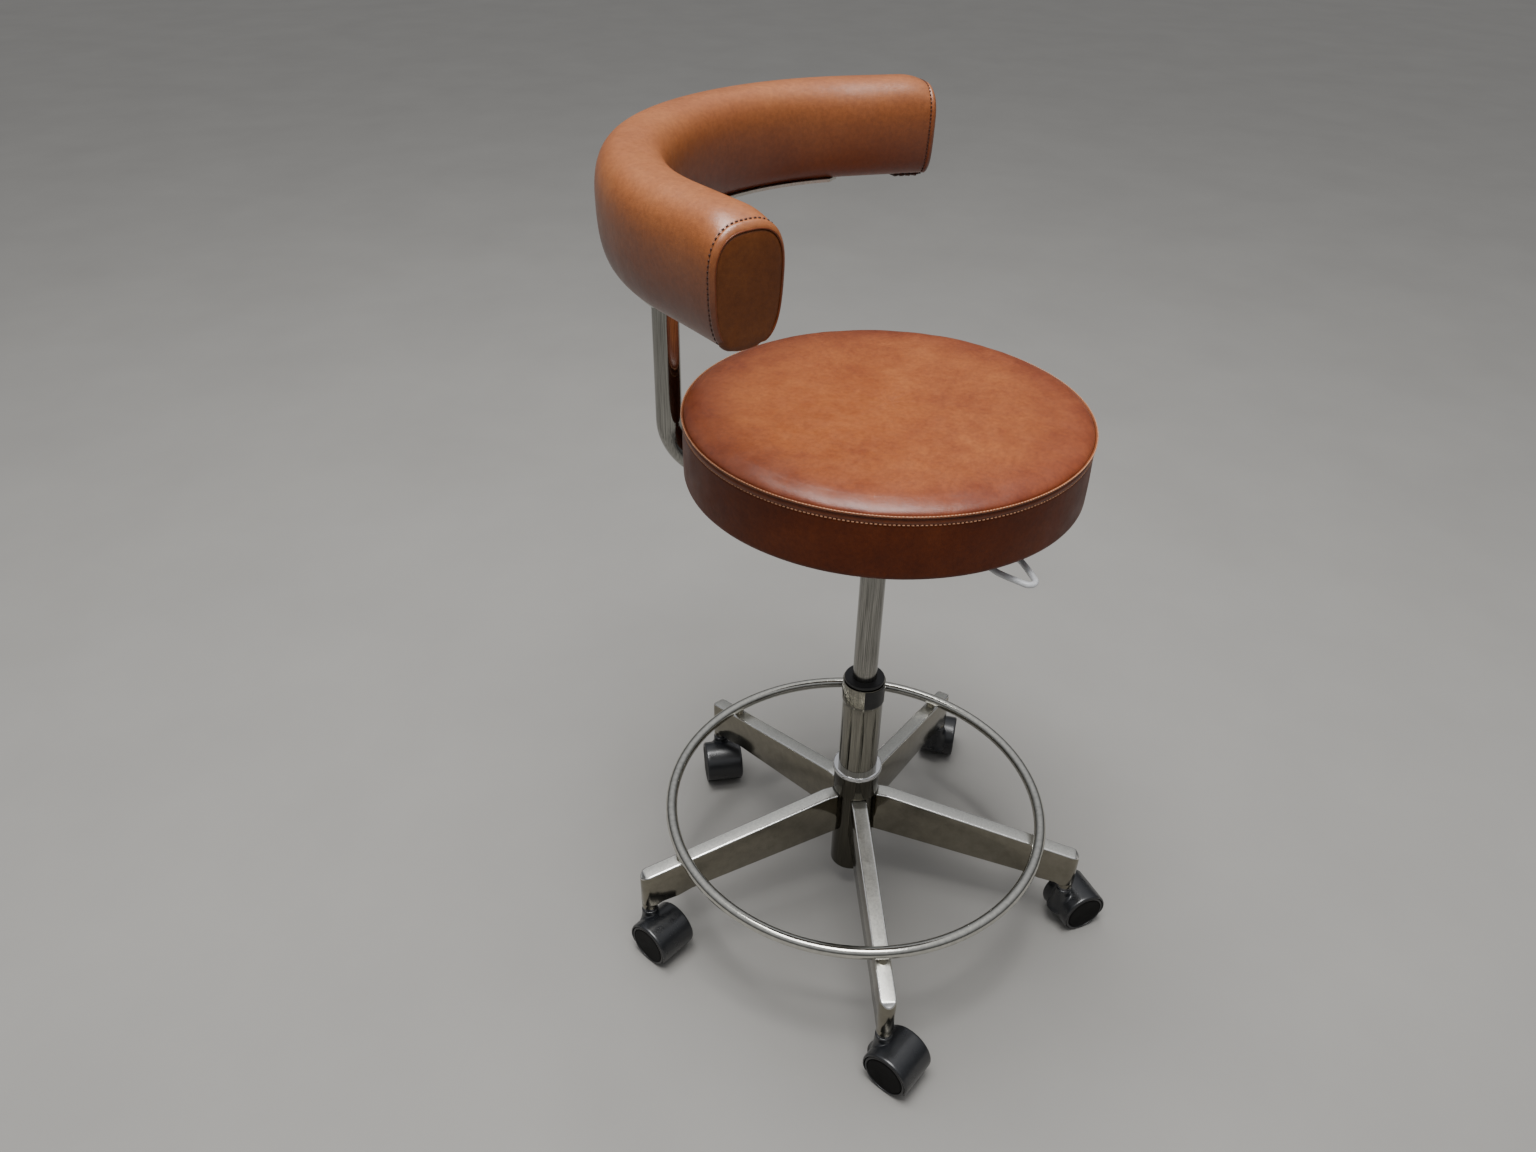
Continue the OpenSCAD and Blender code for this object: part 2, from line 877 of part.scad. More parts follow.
// A disc across a caster's axle, from y0 to y1
module axle_disc(r, y0, y1) {
    translate([caster_trail, y1, wheel_r])
        rotate([90, 0, 0])
            cylinder(r = r, h = y1 - y0);
}

module caster_hood(i) {
    well_r = wheel_r + hood_clear;
    color("black")
        at_caster(i)
            difference() {
                union() {
                    axle_disc(hood_r, -hood_w / 2, hood_w / 2);
                    translate([0, 0, caster_bore_z - 4])
                        cylinder(r = boss_r, h = boss_top_z - caster_bore_z + 4);
                }
                axle_disc(well_r, web_w / 2, hood_w / 2 + 1);
                axle_disc(well_r, -hood_w / 2 - 1, -web_w / 2);
                axle_disc(axle_r, -web_w, web_w);
                translate([-hood_r, -hood_w, -hood_r])
                    cube([4 * hood_r, 2 * hood_w, hood_skirt_z + hood_r]);
                translate([0, 0, caster_bore_z])
                    cylinder(r = caster_stem_r + RUN, h = 30);
            }
}

module caster_axle(i) {
    color("gray")
        at_caster(i)
            axle_disc(axle_r, -axle_len / 2, axle_len / 2);
}

// side is 1 for the wheel to the left of the way the caster trails, and -1 for the right
module wheel(i, side) {
    color("dimgray")
        at_caster(i)
            translate([caster_trail, side * (web_w / 2 + wheel_gap), wheel_r])
                rotate([side > 0 ? -90 : 90, 0, 0])
                    difference() {
                        rotate_extrude()
                            difference() {
                                union() {
                                    square([wheel_r - tread_edge_r, wheel_t]);
                                    translate([0, tread_edge_r])
                                        square([wheel_r, wheel_t - 2 * tread_edge_r]);
                                    translate([wheel_r - tread_edge_r, tread_edge_r])
                                        circle(r = tread_edge_r, $fn = 32);
                                    translate([wheel_r - tread_edge_r, wheel_t - tread_edge_r])
                                        circle(r = tread_edge_r, $fn = 32);
                                }
                                translate([-wheel_r, -1])
                                    square([wheel_r, wheel_t + 2]);
                            }
                        translate([0, 0, -1])
                            cylinder(r = axle_r + RUN, h = wheel_t - 0.2);
                    }
}

hub_tube();
arm(1);  // arm_1
arm(2);  // arm_2
arm(3);  // arm_3
arm(4);  // arm_4
arm(5);  // arm_5
collar_ring();
column_tube();
guide_bush();
column_label();
foot_ring();
ring_saddles();
ring_screws();
caster_stems();
thrust_bearing();
piston_rod();
rod_clip();
gas_cylinder();
taper_socket();
swing_clip();
mount_plate();
plate_screws();
lever_pin();
release_lever();
valve_pin();
seat_board();
seat_foam();
seat_top();
seat_band();
seat_welt();
dust_cover();
swing_collar();
stem_tube();
back_bracket();
bracket_screws();
back_core();
back_pad();
back_cap(-1);  // back_cap_left
back_cap(1);  // back_cap_right
back_strips();
caster_hood(1);  // caster_hood_1
caster_axle(1);  // caster_axle_1
wheel(1, 1);  // wheel_left_1
wheel(1, -1);  // wheel_right_1
caster_hood(2);  // caster_hood_2
caster_axle(2);  // caster_axle_2
wheel(2, 1);  // wheel_left_2
wheel(2, -1);  // wheel_right_2
caster_hood(3);  // caster_hood_3
caster_axle(3);  // caster_axle_3
wheel(3, 1);  // wheel_left_3
wheel(3, -1);  // wheel_right_3
caster_hood(4);  // caster_hood_4
caster_axle(4);  // caster_axle_4
wheel(4, 1);  // wheel_left_4
wheel(4, -1);  // wheel_right_4
caster_hood(5);  // caster_hood_5
caster_axle(5);  // caster_axle_5
wheel(5, 1);  // wheel_left_5
wheel(5, -1);  // wheel_right_5
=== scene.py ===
"""Looks for the dental operator's stool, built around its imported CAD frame."""

import random
from math import copysign, cos, exp, hypot, pi, radians, sin, sqrt

import bmesh
import bpy
import numpy as np
from mathutils import Matrix, Vector


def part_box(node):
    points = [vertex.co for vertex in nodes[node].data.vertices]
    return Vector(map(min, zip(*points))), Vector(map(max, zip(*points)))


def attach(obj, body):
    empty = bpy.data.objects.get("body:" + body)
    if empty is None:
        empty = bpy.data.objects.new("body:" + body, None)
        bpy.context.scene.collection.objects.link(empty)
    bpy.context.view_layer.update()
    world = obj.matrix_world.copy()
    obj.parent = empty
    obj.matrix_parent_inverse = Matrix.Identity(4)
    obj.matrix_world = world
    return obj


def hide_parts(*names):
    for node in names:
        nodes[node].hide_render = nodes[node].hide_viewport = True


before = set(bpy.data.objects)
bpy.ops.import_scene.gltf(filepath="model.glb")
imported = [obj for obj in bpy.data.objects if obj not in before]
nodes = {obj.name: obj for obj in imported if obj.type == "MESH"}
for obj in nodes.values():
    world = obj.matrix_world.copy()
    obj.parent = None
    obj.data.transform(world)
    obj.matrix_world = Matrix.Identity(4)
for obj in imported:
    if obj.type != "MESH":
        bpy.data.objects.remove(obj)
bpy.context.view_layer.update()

MM = 0.001
TAU = 2 * pi
random.seed(7)


# -------------------------------- positions from the CAD

def box(name):
    lo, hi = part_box(name)
    return Vector(lo), Vector(hi)


def middle(name):
    lo, hi = box(name)
    return (lo + hi) / 2


def around(axis, r, degrees, z):
    """The point at radius r and that direction around a vertical axis."""
    a = radians(degrees)
    return Vector((axis.x + r * cos(a), axis.y + r * sin(a), z))


AXIS = middle("foot_ring")
AXIS.z = 0


# -------------------------------- mesh helpers

def show(name, data):
    """Puts an object with this data into the scene."""
    obj = bpy.data.objects.new(name, data)
    bpy.context.scene.collection.objects.link(obj)
    return obj


def shell(name, verts, faces, merge=0.0):
    """A mesh object whose faces all point outwards, with points closer than merge joined."""
    mesh = bpy.data.meshes.new(name)
    mesh.from_pydata([tuple(v) for v in verts], [], faces)
    mesh.validate()
    bm = bmesh.new()
    bm.from_mesh(mesh)
    if merge:
        bmesh.ops.remove_doubles(bm, verts=bm.verts, dist=merge)
    bmesh.ops.recalc_face_normals(bm, faces=bm.faces)
    bm.to_mesh(mesh)
    bm.free()
    return show(name, mesh)


def piece(name, verts, faces, mat, smooth=True):
    obj = shell(name, verts, faces, merge=1e-6)
    for poly in obj.data.polygons:
        poly.use_smooth = smooth
    obj.data.materials.append(mat)
    return obj


def grid_faces(rows, cols, close_rows=False, close_cols=False):
    """Quads over a grid of points stored row by row."""
    faces = []
    for i in range(rows if close_rows else rows - 1):
        for j in range(cols if close_cols else cols - 1):
            a, b = i, (i + 1) % rows
            c, d = j, (j + 1) % cols
            faces.append((a * cols + c, a * cols + d, b * cols + d, b * cols + c))
    return faces


def lathe(name, profile, matrix, mat, segs=96):
    """Turns (radius, height) points around the matrix's Z axis."""
    verts = [matrix @ Vector((*point, h)) for r, h in profile for point in arc(0, 0, r, r, 0, TAU, segs)[:-1]]
    return piece(name, verts, grid_faces(len(profile), segs, close_cols=True), mat)


def arc(x, y, rx, ry, start, end, steps):
    """Points on a stretch of an ellipse around (x, y), from one angle to another."""
    angles = [start + (end - start) * k / steps for k in range(steps + 1)]
    return [(x + rx * cos(a), y + ry * sin(a)) for a in angles]


def rounded(profile, radius, steps=4):
    """Rounds the inner corners of an open (radius, height) outline."""
    out = [profile[0]]
    for before, at, after in zip(profile, profile[1:], profile[2:]):
        p, q, s = Vector(before), Vector(at), Vector(after)
        r = min(radius, (p - q).length * 0.45, (s - q).length * 0.45)
        start, end = q + (p - q).normalized() * r, q + (s - q).normalized() * r
        for k in range(steps + 1):
            t = k / steps
            out.append(tuple(start * (1 - t) ** 2 + q * 2 * t * (1 - t) + end * t ** 2))
    out.append(profile[-1])
    return out


def sweep(name, path, radius, mat, segs=20, closed=False):
    """A round bar along a path, with its ring kept from twisting."""
    n = len(path)
    tangents = []
    for i in range(n):
        a = path[(i - 1) % n] if closed or i else path[0]
        b = path[(i + 1) % n] if closed or i < n - 1 else path[-1]
        tangents.append((b - a).normalized())
    side = tangents[0].orthogonal().normalized()
    verts = []
    for p, t in zip(path, tangents):
        side = (side - t * side.dot(t)).normalized()
        up = t.cross(side)
        for k in range(segs):
            a = TAU * k / segs
            verts.append(p + (side * cos(a) + up * sin(a)) * radius)
    faces = grid_faces(n, segs, close_rows=closed, close_cols=True)
    if not closed:
        faces.append(tuple(range(segs)))
        faces.append(tuple((n - 1) * segs + k for k in range(segs)))
    return piece(name, verts, faces, mat)


def stitches(name, path, normals, mat, length, gap, radius, sink=0.25, closed=True):
    """Thread laid along a path: short bars that dip into the leather at both ends."""
    lengths = [0.0]
    count = len(path)
    pairs = count if closed else count - 1
    for i in range(pairs):
        lengths.append(lengths[-1] + (path[(i + 1) % count] - path[i]).length)
    total = lengths[-1]
    number = max(1, int(round(total / (length + gap))))
    pitch = total / number

    def at(d):
        d = max(0.0, min(total - 1e-9, d))
        i = min(int(np.searchsorted(lengths, d, side="right")), pairs) - 1
        t = (d - lengths[i]) / max(1e-9, lengths[i + 1] - lengths[i])
        j = (i + 1) % count
        return path[i].lerp(path[j], t), normals[i].lerp(normals[j], t).normalized()

    verts, faces = [], []
    ring, rows = 8, 7
    for s in range(number):
        start = s * pitch + gap / 2
        skew = random.uniform(-0.12, 0.12) * radius
        base = len(verts)
        for k in range(rows):
            t = k / (rows - 1)
            d = start + t * (pitch - gap)
            p, n = at(d)
            tangent = at(d + 1e-4)[0] - p
            if tangent.length < 1e-9:
                tangent = p - at(d - 1e-4)[0]
            across = n.cross(tangent.normalized()).normalized()
            lift = radius * (1.0 - sink) - radius * 1.6 * (2 * t - 1) ** 6
            width = radius * (1 - 0.35 * (2 * t - 1) ** 8)
            centre = p + n * lift + across * skew
            for c in range(ring):
                a = TAU * c / ring
                verts.append(centre + (across * cos(a) + n * sin(a) * 0.85) * width)
        faces += [tuple(base + v for v in f) for f in grid_faces(rows, ring, close_cols=True)]
        faces.append(tuple(base + c for c in range(ring)))
        faces.append(tuple(base + (rows - 1) * ring + c for c in range(ring)))
    return piece(name, verts, faces, mat)


# -------------------------------- materials

def material(name):
    mat = bpy.data.materials.new(name)
    mat.use_nodes = True
    return mat, mat.node_tree


def add(tree, kind, **values):
    node = tree.nodes.new(kind)
    for key, value in values.items():
        if key in node.inputs.keys():
            node.inputs[key].default_value = value
        else:
            setattr(node, key, value)
    return node


def feed(tree, socket, value):
    """Links another node's socket to this one, or sets it to a constant."""
    if hasattr(value, "links"):
        tree.links.new(value, socket)
    else:
        socket.default_value = value


def grey(v):
    return v, v, v


def shade(colour, factor):
    return [c * factor for c in colour]


def ramp(tree, source, stops):
    """The colour found on a scale of (place, colour) stops."""
    node = tree.nodes.new("ShaderNodeValToRGB")
    elements = node.color_ramp.elements
    while len(elements) < len(stops):
        elements.new(0.5)
    for element, (at, value) in zip(elements, stops):
        element.position = at
        element.color = (*value, 1)
    tree.links.new(source, node.inputs["Fac"])
    return node.outputs["Color"]


def position(tree, scale=(1, 1, 1)):
    """Object coordinates, which are the row frame in metres, stretched by scale."""
    mapping = add(tree, "ShaderNodeMapping", Scale=scale)
    tree.links.new(tree.nodes.new("ShaderNodeTexCoord").outputs["Object"], mapping.inputs["Vector"])
    return mapping.outputs["Vector"]


def noise(tree, vector, scale, detail=4.0, rough=0.55, distortion=0.0):
    node = add(tree, "ShaderNodeTexNoise", Scale=scale, Detail=detail, Roughness=rough, Distortion=distortion)
    tree.links.new(vector, node.inputs["Vector"])
    return node.outputs["Fac"]


def mixed(tree, factor, a, b, blend="MIX"):
    node = add(tree, "ShaderNodeMix", data_type="RGBA", blend_type=blend)
    for number, value in ((0, factor), (6, a), (7, b)):
        feed(tree, node.inputs[number], value)
    return node.outputs[2]


def bump(tree, height, strength, distance, after=None):
    node = add(tree, "ShaderNodeBump", Strength=strength, Distance=distance)
    tree.links.new(height, node.inputs["Height"])
    if after is not None:
        tree.links.new(after, node.inputs["Normal"])
    return node.outputs["Normal"]


def finished(mat, colour, rough, normal=None, **constants):
    """Gives a material its colour, roughness, bump and constants."""
    tree = mat.node_tree
    sockets = tree.nodes["Principled BSDF"].inputs
    feed(tree, sockets["Base Color"], colour)
    feed(tree, sockets["Roughness"], rough)
    if normal is not None:
        tree.links.new(normal, sockets["Normal"])
    for name, value in constants.items():
        sockets[name.replace("_", " ")].default_value = value
    return mat


def toned(tree, colour, flat, centre, start, end, tone):
    """Tints a colour step by step with the distance from a centre, or with the height."""
    reach = add(tree, "ShaderNodeVectorMath", operation="MULTIPLY")
    reach.inputs[1].default_value = flat
    tree.links.new(position(tree), reach.inputs[0])
    away = add(tree, "ShaderNodeVectorMath", operation="DISTANCE")
    away.inputs[1].default_value = centre
    tree.links.new(reach.outputs[0], away.inputs[0])
    share = add(tree, "ShaderNodeMapRange", interpolation_type="SMOOTHSTEP")
    share.inputs["From Min"].default_value = start
    share.inputs["From Max"].default_value = end
    tree.links.new(away.outputs["Value"], share.inputs["Value"])
    tones = ramp(tree, share.outputs[0], [(0.0, grey(1)), (1.0, tone)])
    return mixed(tree, 1.0, colour, tones, "MULTIPLY")


def pores(tree, where):
    """Fine folds of the grain: dark lines between cells whose edges wander."""
    wobble = add(tree, "ShaderNodeTexNoise", Scale=700.0)
    scaled = add(tree, "ShaderNodeVectorMath", operation="SCALE", Scale=0.0009)
    warp = add(tree, "ShaderNodeVectorMath", operation="ADD")
    cells = add(tree, "ShaderNodeTexVoronoi", feature="DISTANCE_TO_EDGE", Scale=1100.0, Randomness=1.0)
    tree.links.new(where, wobble.inputs["Vector"])
    tree.links.new(wobble.outputs["Color"], scaled.inputs[0])
    tree.links.new(where, warp.inputs[0])
    tree.links.new(scaled.outputs[0], warp.inputs[1])
    tree.links.new(warp.outputs[0], cells.inputs["Vector"])
    return ramp(tree, cells.outputs["Distance"], [(0.0, grey(0)), (0.28, grey(1))])


def leather(name, dark, base, light, blotch, rough=(0.34, 0.52), spec=0.45, cloud=16.0, darkening=None):
    """Pull-up leather: cloudy colour, fine pebbled grain, and a waxy uneven gloss."""
    mat, tree = material(name)
    where = position(tree)
    clouds = noise(tree, where, cloud, 6.0, 0.66, 0.3)
    colour = ramp(tree, clouds, [(0.32, dark), (0.52, base), (0.72, light)])
    patches = noise(tree, where, 62.0, 5.0, 0.66, 0.2)
    blotches = ramp(tree, patches, [(0.36, grey(0)), (0.70, grey(blotch))])
    colour = mixed(tree, blotches, colour, (*light, 1))
    specks = noise(tree, where, 230.0, 5.0, 0.7)
    flecks = ramp(tree, specks, [(0.36, (0.80, 0.78, 0.76)), (0.64, (1.14, 1.16, 1.18))])
    colour = mixed(tree, 0.75, colour, flecks, "MULTIPLY")
    # Optional smooth darkening ramp: painted shade on the support pad, and a darker, redder rim on the seat
    if darkening:
        colour = toned(tree, colour, *darkening)
    grain = pores(tree, where)
    gloss = noise(tree, where, 55.0, 5.0, 0.65)
    creases = noise(tree, where, 160.0, 6.0, 0.6, 0.6)
    return finished(mat, mixed(tree, 0.16, colour, grain, "MULTIPLY"),
                    ramp(tree, gloss, [(0.30, grey(rough[0])), (0.72, grey(rough[1]))]),
                    bump(tree, grain, 0.16, 0.00035, bump(tree, creases, 0.20, 0.0009)),
                    Specular_IOR_Level=spec)


def metal(name, colour, rough, streak=(60, 60, 4), streaks=0.12, smudge=0.10, dirt=0.0, reflection_streak_depth=0.82):
    """Polished metal with fine streaks along its length, smudges and a little grime; its colour streaks are
    painted reflections.
    """
    mat, tree = material(name)
    along = noise(tree, position(tree, streak), 14.0, 6.0, 0.65)
    spots = noise(tree, position(tree), 38.0, 6.0, 0.7, 0.3)
    scratches = noise(tree, position(tree, streak), 55.0, 4.0, 0.6)
    brushed = ramp(tree, along, [(0.34, grey(rough)), (0.78, grey(rough + streaks))])
    smudges = ramp(tree, spots, [(0.45, grey(0)), (0.80, grey(smudge))])
    # Painted reflection: the colour darkens in streaks along the length, like dark bands reflected in
    # polished metal
    tone = ramp(tree, along, [(0.36, shade(colour, reflection_streak_depth)), (0.62, colour)])
    grime = ramp(tree, spots, [(0.55, grey(0)), (0.86, grey(dirt))])
    return finished(mat, mixed(tree, grime, tone, (0.10, 0.085, 0.07, 1)),
                    mixed(tree, 1.0, brushed, smudges, "ADD"), bump(tree, scratches, 0.05, 0.0002),
                    Metallic=1.0)


def plastic(name, colour, rough, grain=0.10, dust=0.05, spec=0.5):
    """Moulded plastic: fine texture, uneven sheen and a trace of dust on top."""
    mat, tree = material(name)
    where = position(tree)
    sheen = ramp(tree, noise(tree, where, 60.0, 6.0, 0.65), [(0.30, grey(rough)), (0.75, grey(rough + 0.14))])
    dusty = ramp(tree, noise(tree, where, 130.0, 5.0, 0.7), [(0.46, grey(0)), (0.82, grey(dust))])
    return finished(mat, mixed(tree, dusty, (*colour, 1), (0.34, 0.31, 0.27, 1)), sheen,
                    bump(tree, noise(tree, where, 1400.0, 2.0), grain, 0.0002), Specular_IOR_Level=spec)


def painted(name, colour, rough):
    """Powder coat: orange peel over steel."""
    mat, tree = material(name)
    where = position(tree)
    rubbed = [min(1, c * 1.5 + 0.01) for c in colour]
    return finished(mat,
                    ramp(tree, noise(tree, where, 45.0, 5.0, 0.65), [(0.35, colour), (0.80, rubbed)]),
                    ramp(tree, noise(tree, where, 80.0), [(0.30, grey(rough)), (0.75, grey(rough + 0.14))]),
                    bump(tree, noise(tree, where, 900.0, 2.0), 0.12, 0.0003))


def wood(name):
    """Birch plywood with straight grain."""
    mat, tree = material(name)
    rings = noise(tree, position(tree, (3, 60, 60)), 5.0, 6.0, 0.6, 0.5)
    tone = ramp(tree, rings, [(0.30, (0.42, 0.27, 0.14)), (0.55, (0.60, 0.42, 0.25)),
                              (0.78, (0.70, 0.53, 0.34))])
    return finished(mat, tone, 0.7, bump(tree, rings, 0.15, 0.0006))


def cloth(name, colour):
    """Spun-bonded cloth: pressed dots in rows."""
    mat, tree = material(name)
    dots = add(tree, "ShaderNodeTexVoronoi", feature="F1", Scale=620.0, Randomness=0.12)
    tree.links.new(position(tree), dots.inputs["Vector"])
    tone = ramp(tree, dots.outputs["Distance"], [(0.1, shade(colour, 0.6)), (0.5, colour)])
    return finished(mat, tone, 0.92, bump(tree, dots.outputs["Distance"], 0.4, 0.0006))


def thread(name, colour):
    """Twisted sewing thread."""
    mat, tree = material(name)
    strands = noise(tree, position(tree), 2600.0, 2.0)
    tone = ramp(tree, strands, [(0.3, shade(colour, 0.6)), (0.7, colour)])
    return finished(mat, tone, 0.6, bump(tree, strands, 0.4, 0.0002))


# Darker and redder toward the rim, from 125 mm to 200 mm out from the column's axis
SEAT_LEATHER = leather("seat_leather", (0.215, 0.046, 0.010), (0.280, 0.072, 0.016), (0.355, 0.108, 0.028),
                       0.45, rough=(0.30, 0.44), spec=0.6,
                       darkening=((1, 1, 0), (AXIS.x, AXIS.y, 0), 0.125, 0.200, (0.72, 0.56, 0.64)))
# Painted light: a lighter copy of the band's leather for its rounded fold under the lip, where the fold
# catches light; the end caps' seam cord uses it as its own colour
LIT_FOLD_AND_CORD_LEATHER = leather("lit_fold_and_cord_leather", (0.135, 0.027, 0.005), (0.175, 0.037, 0.007), (0.220, 0.050, 0.011),
                       0.30, rough=(0.32, 0.44), spec=0.5)
BAND_LEATHER = leather("band_leather", (0.085, 0.014, 0.0020), (0.118, 0.021, 0.003), (0.155, 0.031, 0.005),
                       0.25, rough=(0.38, 0.50), spec=0.22)
PAD_TOP = box("back_pad")[1].z
# Painted shade: the pad's leather darkens from 10 mm to 85 mm below its top, standing in for the shade on its
# lower sides
BACK_LEATHER = leather("back_leather", (0.285, 0.084, 0.024), (0.335, 0.106, 0.031), (0.375, 0.128, 0.040),
                       0.20, rough=(0.28, 0.40), spec=0.8, cloud=12.0,
                       darkening=((0, 0, 1), (0, 0, PAD_TOP), 0.010, 0.085, (0.46, 0.33, 0.26)))
# Painted shade: a darker copy of the pad's leather for the end caps, whose upright faces get less light
SHADED_CAP_LEATHER = leather("shaded_cap_leather", (0.130, 0.034, 0.007), (0.162, 0.046, 0.010), (0.195, 0.059, 0.014),
                      0.20, rough=(0.36, 0.48), spec=0.35)
WELT_LEATHER = leather("welt_leather", (0.155, 0.039, 0.010), (0.205, 0.055, 0.015), (0.255, 0.074, 0.023),
                       0.30)
# Painted shade: near-black leather for the flaps turned under the pad's ends, which lie in its shadow
SHADED_FLAP_LEATHER = leather("dark_leather", (0.028, 0.010, 0.006), (0.045, 0.016, 0.009), (0.065, 0.025, 0.013),
                       0.2)
SEAT_THREAD = thread("seat_thread", (0.62, 0.300, 0.160))
BACK_THREAD = thread("back_thread", (0.060, 0.014, 0.006))
# Painted reflection: this polished steel is much darker than the arms' tops, standing in for dark
# surroundings reflected in the arms' sides, sleeves and the ring's saddles
DARK_REFLECTION_STEEL = metal("polished_steel", (0.27, 0.25, 0.20), 0.11, streak=(6, 6, 6), streaks=0.03, smudge=0.05,
              dirt=0.40)
SATIN_STEEL = metal("satin_steel", (0.80, 0.79, 0.73), 0.30, streak=(30, 30, 30), streaks=0.08, dirt=0.12)
# Painted highlight: a lighter, glossier copy of the arms' steel for their softened upper edges
HIGHLIGHT_BEVEL_STEEL = metal("highlight_bevel_steel", (0.90, 0.89, 0.86), 0.16, streak=(30, 30, 30), streaks=0.06, smudge=0.04)
RING_STEEL = metal("ring_steel", (0.60, 0.59, 0.54), 0.12, streak=(12, 12, 12), streaks=0.05, smudge=0.04,
                   dirt=0.10)
# Painted reflection: the column, hub, stem and gas spring are darker than bare steel and carry strong dark
# streaks down their length, standing in for dark surroundings reflected in them
COLUMN_STEEL = metal("column_steel", (0.34, 0.325, 0.275), 0.05, streak=(150, 150, 1.2), streaks=0.03,
                     smudge=0.03, dirt=0.15, reflection_streak_depth=0.30)
DARK_REFLECTION_HUB_STEEL = metal("dark_reflection_hub_steel", (0.12, 0.112, 0.090), 0.05, streak=(150, 150, 1.2), streaks=0.03,
                  smudge=0.03, dirt=0.15, reflection_streak_depth=0.40)
CHROME = metal("chrome", (0.80, 0.80, 0.80), 0.04, streaks=0.04, smudge=0.04, dirt=0.06)
STEM_CHROME = metal("stem_chrome", (0.41, 0.40, 0.365), 0.05, streak=(120, 120, 1.2), streaks=0.03,
                    smudge=0.03, dirt=0.06, reflection_streak_depth=0.38)
GAS_STEEL = metal("gas_steel", (0.36, 0.35, 0.32), 0.18, streak=(75, 75, 1.0), streaks=0.05, smudge=0.04,
                  reflection_streak_depth=0.34)
LEVER_STEEL = painted("lever_steel", (0.52, 0.53, 0.54), 0.30)
DARK_STEEL = metal("dark_steel", (0.20, 0.20, 0.21), 0.32, dirt=0.2)
BLACK_STEEL = painted("black_steel", (0.018, 0.018, 0.020), 0.38)
BLACK_PLASTIC = plastic("black_plastic", (0.012, 0.012, 0.013), 0.30)
HOOD_PLASTIC = plastic("hood_plastic", (0.006, 0.007, 0.009), 0.24, dust=0.02, spec=0.9)
WHEEL_PLASTIC = plastic("wheel_plastic", (0.002, 0.002, 0.002), 0.40, dust=0.008, spec=0.08)
RIM_PLASTIC = plastic("rim_plastic", (0.016, 0.016, 0.017), 0.30, dust=0.06, spec=0.6)
LABEL = plastic("label", (0.008, 0.008, 0.009), 0.34, grain=0.02)
PLYWOOD = wood("plywood")
DUST_CLOTH = cloth("dust_cloth", (0.018, 0.018, 0.019))


def paint(name, mat):
    obj = nodes[name]
    obj.data.materials.clear()
    obj.data.materials.append(mat)


# -------------------------------- soft goods: simulated filling

SWELL_FRAMES = 20
SWELL_PRESSURE = 4.0


def swelling(points, rows, cols, pinned, cap):
    """Blows a coarse grid of leather up over its filling, and returns how far each point moved."""
    obj = shell("blown", points, grid_faces(rows, cols, close_cols=True))
    mesh = obj.data
    group = obj.vertex_groups.new(name="held")
    group.add([int(i) for i in pinned], 1.0, "REPLACE")
    cloth_mod = obj.modifiers.new("cloth", "CLOTH")
    settings = cloth_mod.settings
    settings.quality = 6
    settings.mass = 0.4
    settings.tension_stiffness = 25
    settings.compression_stiffness = 25
    settings.shear_stiffness = 10
    settings.bending_stiffness = 6
    settings.use_pressure = True
    settings.uniform_pressure_force = SWELL_PRESSURE
    settings.vertex_group_mass = "held"
    settings.effector_weights.gravity = 0
    cloth_mod.point_cache.frame_start = 1
    cloth_mod.point_cache.frame_end = SWELL_FRAMES
    scene = bpy.context.scene
    for f in range(1, SWELL_FRAMES + 1):
        scene.frame_set(f)
    blown = obj.evaluated_get(bpy.context.evaluated_depsgraph_get())
    after = np.array([tuple(v.co) for v in blown.to_mesh().vertices])
    blown.to_mesh_clear()
    scene.frame_set(1)
    bpy.data.objects.remove(obj)
    bpy.data.meshes.remove(mesh)
    moved = after - np.array([tuple(p) for p in points])
    size = np.linalg.norm(moved, axis=1, keepdims=True)
    capped = moved * np.where(size > 1e-9, cap * np.tanh(size / cap) / np.maximum(size, 1e-9), 1.0)
    field = capped.reshape(rows, cols, 3)
    for _ in range(3):
        inner = (field[:-2] + 2 * field[1:-1] + field[2:]) / 4
        field = np.concatenate([field[:1], inner, field[-1:]])
    return field


def resample(field, rows_at, cols_at):
    """Reads a coarse (rows, cols, 3) field, which wraps in its columns, at fractional places."""
    rows, cols = field.shape[:2]
    r = np.asarray(rows_at) * (rows - 1)
    c = np.asarray(cols_at) * cols
    r0 = np.floor(r).astype(int)
    c0 = np.floor(c).astype(int)
    rt = (r - r0)[:, None, None]
    ct = (c - c0)[None, :, None]
    rt = rt * rt * (3 - 2 * rt)
    ct = ct * ct * (3 - 2 * ct)
    ca, cb = c0 % cols, (c0 + 1) % cols
    upper, lower = field[np.clip(r0, 0, rows - 1)], field[np.clip(r0 + 1, 0, rows - 1)]
    upper = upper[:, ca] * (1 - ct) + upper[:, cb] * ct
    lower = lower[:, ca] * (1 - ct) + lower[:, cb] * ct
    return upper * (1 - rt) + lower * rt


# -------------------------------- seat

def circle(radius, z, count):
    """Points on a level circle around the column's axis."""
    return [AXIS + Vector((*point, z)) for point in arc(0, 0, radius, radius, 0, TAU, count)[:-1]]


